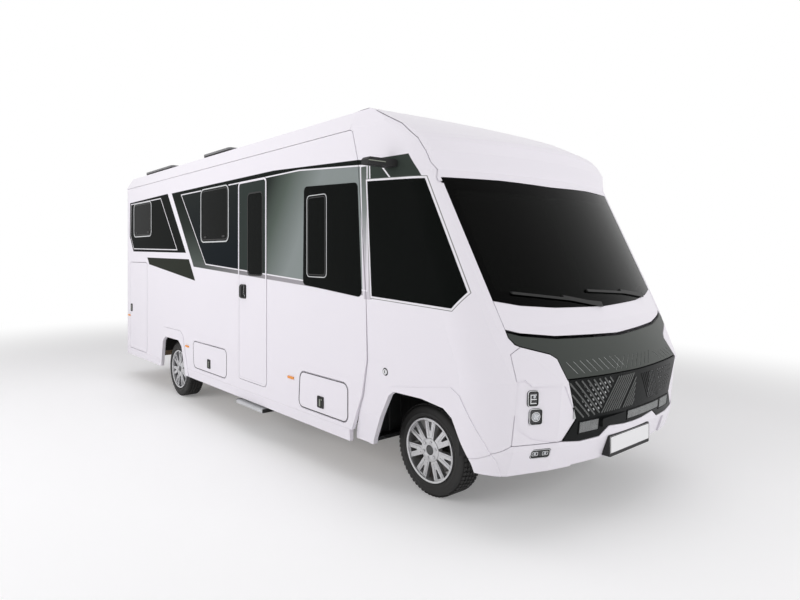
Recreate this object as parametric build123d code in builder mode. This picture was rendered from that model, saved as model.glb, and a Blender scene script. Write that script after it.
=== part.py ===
"""Integrated motorhome, built as separate pieces in one frame.

X points forward, Y to the vehicle's left, Z up. The origin lies on the ground,
half way along the length and on the middle line. All sizes in millimetres.
"""
import os

from build123d import *

os.makedirs("parts", exist_ok=True)

# ---- overall sizes -------------------------------------------------------
REAR_X = -3425.0          # rear face of the body
BODY_HALF = 1150.0        # half width of the living body
WALL_T = 35.0             # sandwich wall thickness
SKIRT_Z = 313.0           # lower edge of the skirts
RIDGE_Z = 404.0           # joint between skirt and wall
SEAM_Z = 2657.0           # joint between wall and roof
ROOF_EDGE_Y = 1085.0      # half width of the roof top
ROOF_EDGE_Z = 2800.0
ROOF_TOP_Z = 2838.0
WALL_REAR_X = -3350.0     # where the walls meet the rear wall
CAB_X = 1808.0            # joint between living body and cab at the roof
GAP = 5.0                 # visible joint between panels
DOOR_GAP = 6.0            # clearance around doors and lids
FLOOR_Z0, FLOOR_Z1 = 440.0, 500.0
BONNET_DROP = 12.0        # clearance above the bonnet panel, for its swing

# ---- wheels and axles ----------------------------------------------------
TYRE_R = 325.0
RIM_R = 226.0
FRONT_X, REAR_AXLE_X = 2352.0, -1665.0
FRONT_Y, REAR_Y = 768.0, 977.0      # wheel middle planes
KING_Y = 620.0                      # steering axis

# ---- cab front: plan sections of the nose from the bumper up --------------
# z, half width of the flank, then x, y of the flank's end, the middle and the end of the round corner
# and the end of the bow (the flank's end lies on the half width), x of the bow's middle, then how much
# of a wall thickness the inner face drops and comes in at that height
NOSE = (
    (330.0, 1090.0, 2830.0, (3000.0, 1064.0), (3100.0, 996.0), (3215.0, 800.0), 3310.0, 0.0, 1.0),
    (560.0, 1128.0, 2880.0, (3080.0, 1095.0), (3191.0, 1022.0), (3308.0, 749.0), 3385.0, 0.0, 1.0),
    (960.0, 1140.0, 2880.0, (3090.0, 1108.0), (3205.0, 1018.0), (3348.0, 755.0), 3425.0, 0.0, 1.0),
    (1270.0, 1145.0, 2765.0, (2965.0, 1124.0), (3055.0, 1078.0), (3090.0, 1040.0), 3230.0, 0.0, 1.0),
    (1445.0, 1148.0, 2700.0, (2890.0, 1122.0), (2975.0, 1080.0), (3005.0, 1050.0), 3155.0, 0.0, 1.0),
    (2280.0, 1148.0, 2420.0, (2510.0, 1134.0), (2565.0, 1106.0), (2590.0, 1086.0), 2745.0, 0.0, 1.0),
    (2404.0, 1148.0, 2440.0, (2520.0, 1132.0), (2563.0, 1104.0), (2586.0, 1082.0), 2766.0, 0.0, 1.0),
    (2480.0, 1148.0, 2400.0, (2478.0, 1132.0), (2518.0, 1108.0), (2540.0, 1088.0), 2768.0, 0.4, 1.0),
    (2515.0, 1148.0, 2380.0, (2448.0, 1133.0), (2486.0, 1111.0), (2505.0, 1094.0), 2742.0, 0.8, 0.8),
    (2545.0, 1148.0, 2350.0, (2414.0, 1134.0), (2450.0, 1113.0), (2468.0, 1098.0), 2682.0, 0.9, 0.6),
    (2620.0, 1148.0, 2265.0, (2306.0, 1139.0), (2338.0, 1124.0), (2352.0, 1114.0), 2490.0, 1.0, 0.3),
    (2700.0, 1148.0, 2115.0, (2152.0, 1138.0), (2184.0, 1121.0), (2198.0, 1110.0), 2302.0, 1.0, 0.3),
    (2776.0, 1148.0, 1975.0, (2002.0, 1136.0), (2028.0, 1114.0), (2040.0, 1100.0), 2101.0, 1.0, 0.2),
    (2846.0, 1148.0, 1815.0, (1822.0, 1136.0), (1829.0, 1108.0), (1834.0, 1090.0), 1852.0, 1.0, 0.0),
)
# side line of the joint behind the cab, from the roof down (x, z)
CAB_SEAM = ((1808.0, 2657.0), (1840.0, 2640.0), (1892.0, 2456.0), (1904.0, 2418.0),
            (1997.0, 1416.0), (2008.0, 952.0), (1951.0, 687.0), (1832.0, 402.0), (1808.0, 313.0))
# side line of the joint between the cap and the cab sides (x, z)
MASK_SEAM = ((1802.0, 2803.0), (1992.0, 2801.0), (2346.0, 2621.0), (2500.0, 2496.0),
             (2562.0, 2404.0), (2624.0, 2221.0))

# front-view outlines, right half only (y, z); every one is mirrored
SCREEN = ((0.0, 2213.0), (549.0, 2226.0), (1032.0, 2222.0), (999.0, 1435.0),
          (813.0, 1401.0), (528.0, 1377.0), (0.0, 1363.0))
STRIP = ((0.0, 1363.0), (528.0, 1377.0), (813.0, 1401.0), (999.0, 1435.0), (988.0, 1266.0),
         (894.0, 1240.0), (635.0, 1209.0), (0.0, 1187.0))
HOOD = ((0.0, 1187.0), (635.0, 1209.0), (894.0, 1240.0), (988.0, 1266.0), (992.0, 1221.0),
        (965.0, 1180.0), (938.0, 1167.0), (747.0, 1113.0), (710.0, 1085.0), (713.0, 969.0),
        (0.0, 962.0))
GRILLE = ((0.0, 962.0), (713.0, 969.0), (617.0, 715.0), (716.0, 597.0), (570.0, 578.0),
          (386.0, 579.0), (291.0, 632.0), (112.0, 616.0), (0.0, 614.0))
LAMP_PANEL = ((710.0, 1085.0), (747.0, 1113.0), (938.0, 1167.0), (1000.0, 1125.0), (1030.0, 596.0),
              (716.0, 597.0), (617.0, 715.0), (713.0, 969.0))
BUMPER = ((0.0, 614.0), (112.0, 616.0), (291.0, 632.0), (386.0, 579.0), (570.0, 578.0),
          (716.0, 597.0), (1030.0, 596.0), (1092.0, 533.0), (1160.0, 400.0), (1160.0, 391.0),
          (1000.0, 395.0), (790.0, 414.0), (0.0, 402.0))
# shallow fields pressed into the lamp panels and the middle of the bumper
LAMP_FIELD = ((1043.0, 964.0), (1006.0, 693.0), (923.0, 630.0), (670.0, 565.0), (603.0, 715.0),
              (732.0, 935.0), (924.0, 942.0), (962.0, 983.0))
BUMPER_FIELD = ((0.0, 568.0), (317.0, 568.0), (569.0, 544.0), (590.0, 380.0), (0.0, 380.0))
LAMP_FIELD_DEEP, BUMPER_FIELD_DEEP = 7.0, 14.0
PLATE_Z, PLATE_W, PLATE_H = 495.0, 520.0, 110.0
NOSE_PLATE_X = 3371.0
# lamps on each half of the nose: y, z, width, height
LAMPS = ((915.0, 871.0, 64.0, 96.0), (894.0, 761.0, 78.0, 98.0), (850.0, 536.0, 122.0, 60.0))
# slanted slots: first and last y at the top edge, count, top z, bottom z, lean towards +y, width
HOOD_SLITS = ((-650.0, -173.0, 9, 1062.0, 993.0, -46.0, 7.0),
              (-129.0, 288.0, 8, 1050.0, 980.0, 112.0, 7.0),
              (340.0, 620.0, 5, 1034.0, 980.0, -70.0, 7.0))
GRILLE_SLOTS = ((-230.0, -48.0, 8, 928.0, 736.0, 140.0, 9.0),
                (48.0, 230.0, 8, 928.0, 736.0, -140.0, 9.0))
MESH_SLOTS = ((-570.0, -425.0, 6, 692.0, 632.0, 20.0, 12.0), (-70.0, 370.0, 15, 690.0, 644.0, 20.0, 12.0),
              (430.0, 570.0, 6, 692.0, 632.0, 20.0, 12.0))
# short slots between the outer slats: y, z of the first, step down a row, step to the next row, and how
# many slots each row has
HOLE_START, HOLE_STEP, HOLE_ROW_STEP = (-324.0, 917.0), (-18.3, -31.0), -48.0
HOLE_ROWS = (6, 6, 6, 5, 4, 2)
RADAR = (-405.0, -113.0, 642.0, 696.0)     # cover of the distance sensor: y0, y1, z0, z1

# ---- openings in the flank (x0, x1, z0, z1) -------------------------------
DOOR = (16.0, 568.0, 500.0, 2433.0)
DOOR_WINDOW = (218.0, 486.0, 1530.0, 2296.0)
BED_WINDOW = (-3095.0, -2400.0, 1958.0, 2427.0)
ROOM_WINDOW = (-864.0, -186.0, 1848.0, 2436.0)
MID_WINDOW = ((1187.0, 2283.0), (1898.0, 2252.0), (1948.0, 1402.0), (1172.0, 1467.0))
CAB_WINDOW = ((2009.0, 2248.0), (2565.0, 2217.0), (2912.0, 1486.0), (2818.0, 1384.0), (2058.0, 1419.0))
LOCKER_REAR = ((-1078.0, 741.0), (-240.0, 741.0), (-240.0, 446.0), (-1056.0, 446.0))
LOCKER_FRONT = ((1126.0, 739.0), (1783.0, 739.0), (1783.0, 440.0), (1104.0, 440.0))
DOOR_ROUND, LOCKER_ROUND, WINDOW_ROUND = 50.0, 60.0, 40.0     # corner radii
GARAGE = (-3262.0, -2572.0, 412.0, 1611.0)
REAR_ARCH_PANEL = ((-1965.0, 818.0), (-1450.0, 818.0), (-1365.0, 770.0), (-1195.0, 313.0),
                   (-2135.0, 313.0), (-2045.0, 770.0))
REAR_ARCH_OPEN = ((-1915.0, 700.0), (-1500.0, 700.0), (-1405.0, 640.0), (-1285.0, 300.0),
                  (-2055.0, 300.0), (-1995.0, 640.0))
FRONT_ARCH = ((2005.0, 300.0), (2030.0, 373.0), (2232.0, 735.0), (2280.0, 768.0), (2550.0, 772.0),
              (2745.0, 748.0), (2814.0, 701.0), (2874.0, 581.0), (2948.0, 449.0), (2985.0, 300.0))
# flared band round the front wheel opening, wider above its front shoulder
ARCH_LIP = ((1955.0, 290.0), (1985.0, 373.0), (2205.0, 775.0), (2262.0, 800.0), (2540.0, 842.0),
            (2810.0, 890.0), (2880.0, 850.0), (3056.0, 585.0), (3100.0, 496.0), (3110.0, 290.0))
ARCH_LIP_PROUD = 6.0

# roof hatches: x0, x1, y0, y1
HATCHES = ((-3060.0, -2100.0, -1000.0, -345.0), (-1150.0, -480.0, -1000.0, -480.0))

# ======================= cab front shell ====================================
def nose_block(inset):
    """Solid nose between bumper and roof, its faces set in by the given amount."""
    back = CAB_X - (50.0 if inset else 0.0)
    with BuildPart() as block:
        for z, w, xa, middle, end, bow, tip, drop, into in NOSE:
            level = drop == 1.0
            flank = (xa, w - inset)
            middle = (middle[0] - 0.7 * into * inset, middle[1] - (1.0 if level else 0.7) * inset)
            end = (end[0] - 0.85 * into * inset, end[1] - (1.0 if level else 0.5) * inset)
            bow = (bow[0] - into * inset, bow[1] - (1.0 if level else 0.3) * inset)
            with BuildSketch(Plane.XY.offset(z - drop * inset)):
                with BuildLine():
                    Polyline((back, -flank[1]), (flank[0], -flank[1]))
                    ThreePointArc((flank[0], -flank[1]), (middle[0], -middle[1]), (end[0], -end[1]))
                    Line((end[0], -end[1]), (bow[0], -bow[1]))
                    ThreePointArc((bow[0], -bow[1]), (tip - into * inset, 0), bow)
                    Line(bow, end)
                    ThreePointArc(end, middle, flank)
                    Polyline(flank, (back, flank[1]), (back, -flank[1]))
                make_face()
        loft(ruled=True)
        # the rounded cross-section of the roof
        with BuildSketch(Plane.YZ.offset(1700)):
            edge, top = (1092 - 0.9 * inset, ROOF_EDGE_Z + 2 - inset), ROOF_TOP_Z + 8 - inset
            with BuildLine():
                Polyline((-edge[0], edge[1]), (-1150, SEAM_Z - 0.3 * inset), (-1150, 300), (1150, 300),
                         (1150, SEAM_Z - 0.3 * inset), edge)
                ThreePointArc(edge, (0, top), (-edge[0], edge[1]))
            make_face()
        extrude(amount=1900, mode=Mode.INTERSECT)
    return block.part


def outline(half):
    """Mirror a right-half outline whose first and last points lie on the middle line."""
    return [(-y, z) for y, z in half] + [(y, z) for y, z in reversed(half[1:-1])]


def cap_zone(grow):
    """Region of the white cap: all above the mask joint, and the roof's middle behind it."""
    with BuildPart() as zone:
        with BuildSketch(SIDE_VIEW):
            Polygon(*MASK_SEAM, (2640, 2190), (3000, 2190), (3000, 2950), (1760, 2950), (1760, 2803), align=None)
            if grow:
                offset(amount=grow, kind=Kind.INTERSECTION)
        extrude(amount=2600)
        with BuildSketch(Plane.YZ.offset(1760)):
            with Locations((0, 2750)):
                Rectangle(2 * 1030 + 2 * grow, 400 + 2 * grow)
        extrude(amount=800)
    return zone.part


SIDE_VIEW = Plane.XZ.offset(-1300)        # side-view cutters start at the left and run to the right
FRONT_VIEW = Plane.YZ.offset(2500)        # front-view cutters start here and run forward

def front_prism(*halves):
    """Front-view outlines, each given as a right half and mirrored, run forward through the shell."""
    with BuildPart() as prism:
        with BuildSketch(FRONT_VIEW):
            for half in halves:
                Polygon(*outline(half), align=None)
        extrude(amount=1100)
    return prism.part


def side_prism(*shapes):
    """Side-view outlines run through from the left side to the right side."""
    with BuildPart() as prism:
        with BuildSketch(SIDE_VIEW):
            for points in shapes:
                Polygon(*points, align=None)
        extrude(amount=2600)
    return prism.part


def lamp_prisms(clearance):
    """Lamp outlines of both halves, drawn in front view and run forward through the shell."""
    with BuildPart() as prisms:
        with BuildSketch(FRONT_VIEW):
            for side in (-1, 1):
                for y, z, w, h in LAMPS:
                    with Locations((side * y, z)):
                        RectangleRounded(w + 2 * clearance, h + 2 * clearance, 0.3 * min(w, h))
        extrude(amount=1100)
    return prisms.part


def slot_prisms(rows):
    """Rows of slanted slots, drawn in front view and run forward through the shell."""
    with BuildPart() as prisms:
        with BuildSketch(FRONT_VIEW):
            for first, last, count, top, bottom, lean, width in rows:
                for n in range(count):
                    y = first + (last - first) * n / (count - 1)
                    Polygon((y - width / 2, top), (y + width / 2, top), (y + width / 2 - lean, bottom),
                            (y - width / 2 - lean, bottom), align=None)
        extrude(amount=1100)
    return prisms.part


lamp_pockets = lamp_prisms(1.0)
nose_outside = nose_block(0)
lamp_depth = nose_block(LAMP_FIELD_DEEP)
bumper_depth = nose_block(BUMPER_FIELD_DEEP)
with BuildPart() as arch_lip:
    add(nose_block(-ARCH_LIP_PROUD))
    add(side_prism(ARCH_LIP), mode=Mode.INTERSECT)
    add(nose_block(20.0), mode=Mode.SUBTRACT)
with BuildPart() as shell:
    add(nose_outside)
    add(nose_block(WALL_T), mode=Mode.SUBTRACT)
with BuildPart() as glass_skin:
    add(nose_outside)
    add(nose_block(8.0), mode=Mode.SUBTRACT)
with BuildPart() as bonnet_skin:
    add(nose_outside)
    add(bumper_depth, mode=Mode.SUBTRACT)
with BuildPart() as lens_skin:
    add(nose_block(4.0))
    add(nose_block(24.0), mode=Mode.SUBTRACT)

# ======================= panels cut from the shell ===========================
with BuildPart() as windscreen:
    add(glass_skin.part)
    add(front_prism(SCREEN), mode=Mode.INTERSECT)

with BuildPart() as scuttle_strip:
    add(shell.part)
    with BuildSketch(FRONT_VIEW):
        Polygon(*outline(STRIP), align=None)
        offset(amount=-GAP / 2, kind=Kind.INTERSECTION)
    extrude(amount=1100, mode=Mode.INTERSECT)

# bonnet: a thin moulding with three rows of pressed slots over its lower edge
with BuildPart() as bonnet:
    add(bonnet_skin.part)
    with BuildSketch(FRONT_VIEW):
        Polygon(*outline([(y, z - (BONNET_DROP if n < 4 else 0)) for n, (y, z) in enumerate(HOOD)]), align=None)
        offset(amount=-GAP, kind=Kind.INTERSECTION)
    extrude(amount=1100, mode=Mode.INTERSECT)
    add(slot_prisms(HOOD_SLITS), mode=Mode.SUBTRACT)

# short slots between the outer slats, in slanted rows that follow the grille's sides
with BuildPart() as hole_prisms:
    with BuildSketch(FRONT_VIEW):
        for side in (1, -1):
            for row, count in enumerate(HOLE_ROWS):
                for n in range(count):
                    y = HOLE_START[0] + HOLE_ROW_STEP * row + HOLE_STEP[0] * n
                    with Locations(Location((side * y, HOLE_START[1] + HOLE_STEP[1] * n), -42 * side)):
                        Rectangle(24, 11)
    extrude(amount=1100)

# grille: frame, leaning slats, short slots at the sides, three mesh windows and the sensor's cover
with BuildPart() as lower_grille:
    add(shell.part)
    with BuildSketch(FRONT_VIEW):
        Polygon(*outline(GRILLE), align=None)
        offset(amount=-GAP / 2, kind=Kind.INTERSECTION)
    extrude(amount=1100, mode=Mode.INTERSECT)
    add(slot_prisms(GRILLE_SLOTS + MESH_SLOTS), mode=Mode.SUBTRACT)
    add(hole_prisms.part, mode=Mode.SUBTRACT)
    with BuildSketch(Plane.YZ.offset(3352)):
        with Locations(((RADAR[0] + RADAR[1]) / 2, (RADAR[2] + RADAR[3]) / 2)):
            RectangleRounded(RADAR[1] - RADAR[0], RADAR[3] - RADAR[2], 14)
    extrude(amount=50)

with BuildPart() as bumper_field:
    add(front_prism(BUMPER_FIELD))
    add(bumper_depth, mode=Mode.SUBTRACT)

with BuildPart() as front_bumper:
    add(shell.part)
    add(arch_lip.part)
    with BuildSketch(FRONT_VIEW):
        Polygon(*outline(BUMPER), align=None)
        offset(amount=-GAP / 2, kind=Kind.INTERSECTION)
    extrude(amount=1100, mode=Mode.INTERSECT)
    add(bumper_field.part, mode=Mode.SUBTRACT)
    add(lamp_pockets, mode=Mode.SUBTRACT)
    add(side_prism(FRONT_ARCH), mode=Mode.SUBTRACT)

with BuildPart() as lamp_fields:
    for side in (-1, 1):
        with BuildSketch(FRONT_VIEW):
            Polygon(*[(side * y, z) for y, z in LAMP_FIELD], align=None)
        extrude(amount=1100)
    add(lamp_depth, mode=Mode.SUBTRACT)

with BuildPart() as headlamp_panels:
    add(shell.part)
    with BuildSketch(FRONT_VIEW):
        for side in (-1, 1):
            Polygon(*[(side * y, z) for y, z in LAMP_PANEL], align=None)
        offset(amount=-GAP / 2, kind=Kind.INTERSECTION)
    extrude(amount=1100, mode=Mode.INTERSECT)
    add(lamp_fields.part, mode=Mode.SUBTRACT)
    add(lamp_pockets, mode=Mode.SUBTRACT)

with BuildPart() as front_cap:
    add(shell.part)
    add(cap_zone(0), mode=Mode.INTERSECT)
    with BuildSketch(FRONT_VIEW):
        Polygon(*outline(SCREEN), align=None)
        offset(amount=GAP, kind=Kind.INTERSECTION)
        with Locations((0, 1100)):
            Rectangle(2700, 2200)
    extrude(amount=1100, mode=Mode.SUBTRACT)

with BuildPart() as cab_sides:
    add(shell.part)
    add(arch_lip.part)
    add(side_prism(((1700, 2950), (CAB_X, 2950)) + CAB_SEAM + ((1700, 313),)), mode=Mode.SUBTRACT)
    add(cap_zone(GAP), mode=Mode.SUBTRACT)
    # screen, strip, bonnet, lamp panels and bumper taken out together
    with BuildSketch(FRONT_VIEW):
        FACE = SCREEN[1:4] + HOOD[3:7] + ((1000, 1125), (1030, 596), (1092, 533), (1160, 400), (1160, 280))
        Polygon(*outline(((0.0, 2213.0),) + FACE + ((0.0, 280.0),)), align=None)
        offset(amount=GAP / 2, kind=Kind.INTERSECTION)
    extrude(amount=1100, mode=Mode.SUBTRACT)
    with BuildSketch(SIDE_VIEW):
        Polygon(*CAB_WINDOW, align=None)
        offset(amount=GAP / 2, kind=Kind.INTERSECTION)
    extrude(amount=2600, mode=Mode.SUBTRACT)
    add(side_prism(FRONT_ARCH), mode=Mode.SUBTRACT)

with BuildPart() as cab_windows:
    add(glass_skin.part)
    add(side_prism(CAB_WINDOW), mode=Mode.INTERSECT)

# wipers: blades and arms that lie just above the glass, bent as it is
WIPER_LINES = (((-850.0, 1480.0), (-40.0, 1386.0), 16.0), ((-40.0, 1372.0), (-430.0, 1440.0), 26.0),
               ((-150.0, 1474.0), (700.0, 1418.0), 16.0), ((700.0, 1402.0), (300.0, 1452.0), 26.0))
with BuildPart() as wipers:
    add(nose_block(-16.0))
    with BuildSketch(FRONT_VIEW):
        for (ya, za), (yb, zb), width in WIPER_LINES:
            Polygon((ya, za - width / 2), (yb, zb - width / 2), (yb, zb + width / 2), (ya, za + width / 2),
                    align=None)
    extrude(amount=1100, mode=Mode.INTERSECT)
    add(nose_block(-1.5), mode=Mode.SUBTRACT)

# ======================= living body ========================================
WALL_OUTLINE = ((WALL_REAR_X, RIDGE_Z), (WALL_REAR_X, SEAM_Z - GAP), (CAB_X - 2, SEAM_Z - GAP)) + tuple(
    (x - GAP, z) for x, z in CAB_SEAM[1:7]) + ((1826.0, RIDGE_Z),)


def box_outline(x0, x1, z0, z1):
    return ((x0, z0), (x1, z0), (x1, z1), (x0, z1))


def rounded(points, radius, grow=0.0):
    """Face with rounded corners, grown evenly by a gap where it is cut out of a wall."""
    with BuildSketch() as face:
        Polygon(*points, align=None)
        fillet(face.vertices(), radius)
        if grow:
            offset(amount=grow)
    return face.sketch


def wall_blank(inner, holes):
    """Flat sandwich wall in side view, standing on the given plane, with its openings cut."""
    with BuildPart() as wall:
        with BuildSketch(inner):
            Polygon(*WALL_OUTLINE, align=None)
            Polygon(*REAR_ARCH_PANEL, align=None, mode=Mode.SUBTRACT)
            for hole in holes:
                add(hole, mode=Mode.SUBTRACT)
        extrude(amount=WALL_T)
    return wall.part


RIGHT_INNER = Plane.XZ.offset(BODY_HALF - WALL_T)      # extrudes towards -Y
LEFT_INNER = Plane.XZ.offset(-BODY_HALF)               # extrudes from the outer face towards the inside
BATH_WINDOW = (340.0, 960.0, 1560.0, 2240.0)
WINDOWS = {"bed": box_outline(*BED_WINDOW), "room": box_outline(*ROOM_WINDOW), "middle": MID_WINDOW,
           "bath": box_outline(*BATH_WINDOW), "door": box_outline(*DOOR_WINDOW)}
PANES = {word: rounded(edge, WINDOW_ROUND) for word, edge in WINDOWS.items()}
PANE_HOLES = {word: rounded(edge, WINDOW_ROUND, 1.0) for word, edge in WINDOWS.items()}
# doors and lids: outline and corner radius
DOORS = {"entrance": (box_outline(*DOOR), DOOR_ROUND), "rear locker": (LOCKER_REAR, LOCKER_ROUND),
         "front locker": (LOCKER_FRONT, LOCKER_ROUND), "garage": (box_outline(*GARAGE), DOOR_ROUND)}
LEAVES = {word: rounded(edge, radius) for word, (edge, radius) in DOORS.items()}
LEAF_HOLES = {word: rounded(edge, radius, DOOR_GAP) for word, (edge, radius) in DOORS.items()}
RIGHT_PANES, LEFT_PANES = ("bed", "room", "middle"), ("bed", "room", "bath", "middle")

with BuildPart() as side_wall_right:
    add(wall_blank(RIGHT_INNER, list(LEAF_HOLES.values()) + [PANE_HOLES[word] for word in RIGHT_PANES]))
with BuildPart() as side_wall_left:
    add(wall_blank(LEFT_INNER, [LEAF_HOLES["garage"]] + [PANE_HOLES[word] for word in LEFT_PANES]))

# acrylic panes, set in flush with a slight step outside
WINDOW_T, PANE_PROUD = 24.0, 2.0
with BuildPart() as side_windows:
    with BuildSketch(Plane.XZ.offset(BODY_HALF - WINDOW_T)):
        for word in RIGHT_PANES:
            add(PANES[word])
    extrude(amount=WINDOW_T + PANE_PROUD)
    with BuildSketch(Plane.XZ.offset(-BODY_HALF - PANE_PROUD)):
        for word in LEFT_PANES:
            add(PANES[word])
    extrude(amount=WINDOW_T + PANE_PROUD)

# skirts: hollow-looking rails under the walls, stopping at the rear arch panels
with BuildPart() as skirts:
    with BuildSketch(Plane.YZ.offset(WALL_REAR_X)):
        for side in (-1, 1):
            Polygon(*[(side * y, z) for y, z in ((1150, RIDGE_Z - 1), (1156, RIDGE_Z - 12), (1148, SKIRT_Z),
                                                 (1118, SKIRT_Z), (1118, RIDGE_Z - 1))], align=None)
    extrude(amount=CAB_X - WALL_REAR_X)
    with BuildSketch(Plane.XZ.offset(-1300)):
        Polygon(*REAR_ARCH_PANEL, align=None)
        offset(amount=GAP, kind=Kind.INTERSECTION)
        Polygon((CAB_X - 2, 280), (CAB_X - 2, 322), (1832, 420), (1900, 420), (1900, 280), align=None)
    extrude(amount=2600, mode=Mode.SUBTRACT)

# raised panels around the rear wheels
with BuildPart() as rear_arches:
    for y0 in (BODY_HALF - WALL_T, -BODY_HALF - 4):
        with BuildSketch(Plane.XZ.offset(y0)):
            Polygon(*[(x, max(z, SKIRT_Z)) for x, z in REAR_ARCH_PANEL], align=None)
            offset(amount=-GAP / 2, kind=Kind.INTERSECTION)
            Polygon(*REAR_ARCH_OPEN, align=None, mode=Mode.SUBTRACT)
        extrude(amount=WALL_T + 4)

# rear wall: one moulding with rounded upright corners
REAR_CORNER = 90.0
with BuildPart() as rear_wall:
    with BuildSketch(Plane.XY.offset(RIDGE_Z)):
        with Locations(((REAR_X + WALL_REAR_X - GAP) / 2, 0)):
            Rectangle(WALL_REAR_X - GAP - REAR_X, 2 * BODY_HALF)
    extrude(amount=SEAM_Z - GAP - RIDGE_Z)
    fillet(rear_wall.edges().filter_by(Axis.Z).sort_by(Axis.X)[:2], radius=60)
    with BuildSketch(Plane.XY.offset(RIDGE_Z)):
        with Locations(((REAR_X + 40 + WALL_REAR_X) / 2, 0)):
            Rectangle(WALL_REAR_X - REAR_X - 40, 2 * (BODY_HALF - 40))
    extrude(amount=SEAM_Z - RIDGE_Z, mode=Mode.SUBTRACT)

# rear bumper under it, same corners
with BuildPart() as rear_bumper:
    with BuildSketch(Plane.XY.offset(SKIRT_Z)):
        with Locations(((REAR_X + WALL_REAR_X - GAP) / 2, 0)):
            Rectangle(WALL_REAR_X - GAP - REAR_X, 2 * BODY_HALF)
    extrude(amount=RIDGE_Z - 2 - SKIRT_Z)
    fillet(rear_bumper.edges().filter_by(Axis.Z).sort_by(Axis.X)[:2], radius=60)
    with BuildSketch(Plane.XY.offset(SKIRT_Z)):
        with Locations(((REAR_X + 45 + WALL_REAR_X) / 2, 0)):
            Rectangle(WALL_REAR_X - REAR_X - 45, 2 * (BODY_HALF - 45))
    extrude(amount=RIDGE_Z - SKIRT_Z, mode=Mode.SUBTRACT)

with BuildPart() as rear_lamps:
    with BuildSketch(Plane.YZ.offset(REAR_X - 14)):
        for side in (-1, 1):
            with Locations((side * 1010, 860), (side * 1010, 1010), (side * 1010, 1160)):
                RectangleRounded(110, 140, 20)
        with Locations((0, 2560)):
            RectangleRounded(420, 40, 12)
    extrude(amount=13.5)

# roof: crowned shell with slanted side edges and a slanted rear end
with BuildPart() as roof_shell:
    with BuildSketch(Plane.YZ.offset(REAR_X)):
        with BuildLine():
            Polyline((ROOF_EDGE_Y, ROOF_EDGE_Z), (BODY_HALF, SEAM_Z), (-BODY_HALF, SEAM_Z), (-ROOF_EDGE_Y, ROOF_EDGE_Z))
            ThreePointArc((-ROOF_EDGE_Y, ROOF_EDGE_Z), (0, ROOF_TOP_Z), (ROOF_EDGE_Y, ROOF_EDGE_Z))
        make_face()
    extrude(amount=CAB_X - GAP - REAR_X)
    with BuildSketch(SIDE_VIEW):
        Polygon((REAR_X, SEAM_Z), (REAR_X + 90, ROOF_EDGE_Z + 10), (REAR_X + 140, ROOF_TOP_Z + 20),
                (CAB_X, ROOF_TOP_Z + 20), (CAB_X, SEAM_Z), align=None)
    extrude(amount=2600, mode=Mode.INTERSECT)
    with BuildSketch(Plane.YZ.offset(REAR_X + 120)):
        with BuildLine():
            Polyline((ROOF_EDGE_Y - 30, ROOF_EDGE_Z - 36), (BODY_HALF - 36, SEAM_Z), (-BODY_HALF + 36, SEAM_Z),
                     (-ROOF_EDGE_Y + 30, ROOF_EDGE_Z - 36))
            ThreePointArc((-ROOF_EDGE_Y + 30, ROOF_EDGE_Z - 36), (0, ROOF_TOP_Z - 36),
                          (ROOF_EDGE_Y - 30, ROOF_EDGE_Z - 36))
        make_face()
    extrude(amount=CAB_X - REAR_X, mode=Mode.SUBTRACT)
    with BuildSketch(Plane.XY.offset(2600)):
        for x0, x1, y0, y1 in HATCHES:
            with Locations(((x0 + x1) / 2, (y0 + y1) / 2)):
                Rectangle(x1 - x0 - 60, y1 - y0 - 60)
    extrude(amount=400, mode=Mode.SUBTRACT)

with BuildPart() as hatch_frames:
    with BuildSketch(Plane.XY.offset(2770)):
        for x0, x1, y0, y1 in HATCHES:
            with Locations(((x0 + x1) / 2, (y0 + y1) / 2)):
                Rectangle(x1 - x0 - 61, y1 - y0 - 61)
                Rectangle(x1 - x0 - 100, y1 - y0 - 100, mode=Mode.SUBTRACT)
    extrude(amount=74)

HATCH_LIDS = []
for x0, x1, y0, y1 in HATCHES:
    with BuildPart() as hatch_lid:
        with BuildSketch(Plane.XY.offset(2850)):
            with Locations(((x0 + x1) / 2, (y0 + y1) / 2)):
                RectangleRounded(x1 - x0, y1 - y0, 40)
        extrude(amount=22)
    HATCH_LIDS.append(hatch_lid.part)

# ======================= doors and lids ======================================
def door_leaf(plane, face, window=None):
    """Sandwich leaf as thick as the wall, with its window cut."""
    with BuildPart() as leaf:
        with BuildSketch(plane):
            add(face)
            if window:
                add(window, mode=Mode.SUBTRACT)
        extrude(amount=WALL_T)
    return leaf.part


with BuildPart() as entrance_door:
    add(door_leaf(RIGHT_INNER, LEAVES["entrance"], PANE_HOLES["door"]))
with BuildPart() as entrance_door_glass:
    with BuildSketch(Plane.XZ.offset(BODY_HALF - WINDOW_T)):
        add(PANES["door"])
    extrude(amount=WINDOW_T)
with BuildPart() as door_handle:
    with BuildSketch(Plane.XZ.offset(BODY_HALF + 0.3)):
        with Locations((120, 1360)):
            RectangleRounded(110, 128, 16)
    extrude(amount=14)
    with BuildSketch(Plane.XZ.offset(BODY_HALF + 14)):
        with Locations((120, 1360)):
            RectangleRounded(44, 108, 12)
    extrude(amount=22)
with BuildPart() as locker_lid_rear:
    add(door_leaf(RIGHT_INNER, LEAVES["rear locker"]))
with BuildPart() as locker_lid_front:
    add(door_leaf(RIGHT_INNER, LEAVES["front locker"]))
with BuildPart() as garage_door_right:
    add(door_leaf(RIGHT_INNER, LEAVES["garage"]))
with BuildPart() as garage_door_left:
    add(door_leaf(LEFT_INNER, LEAVES["garage"]))

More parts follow.
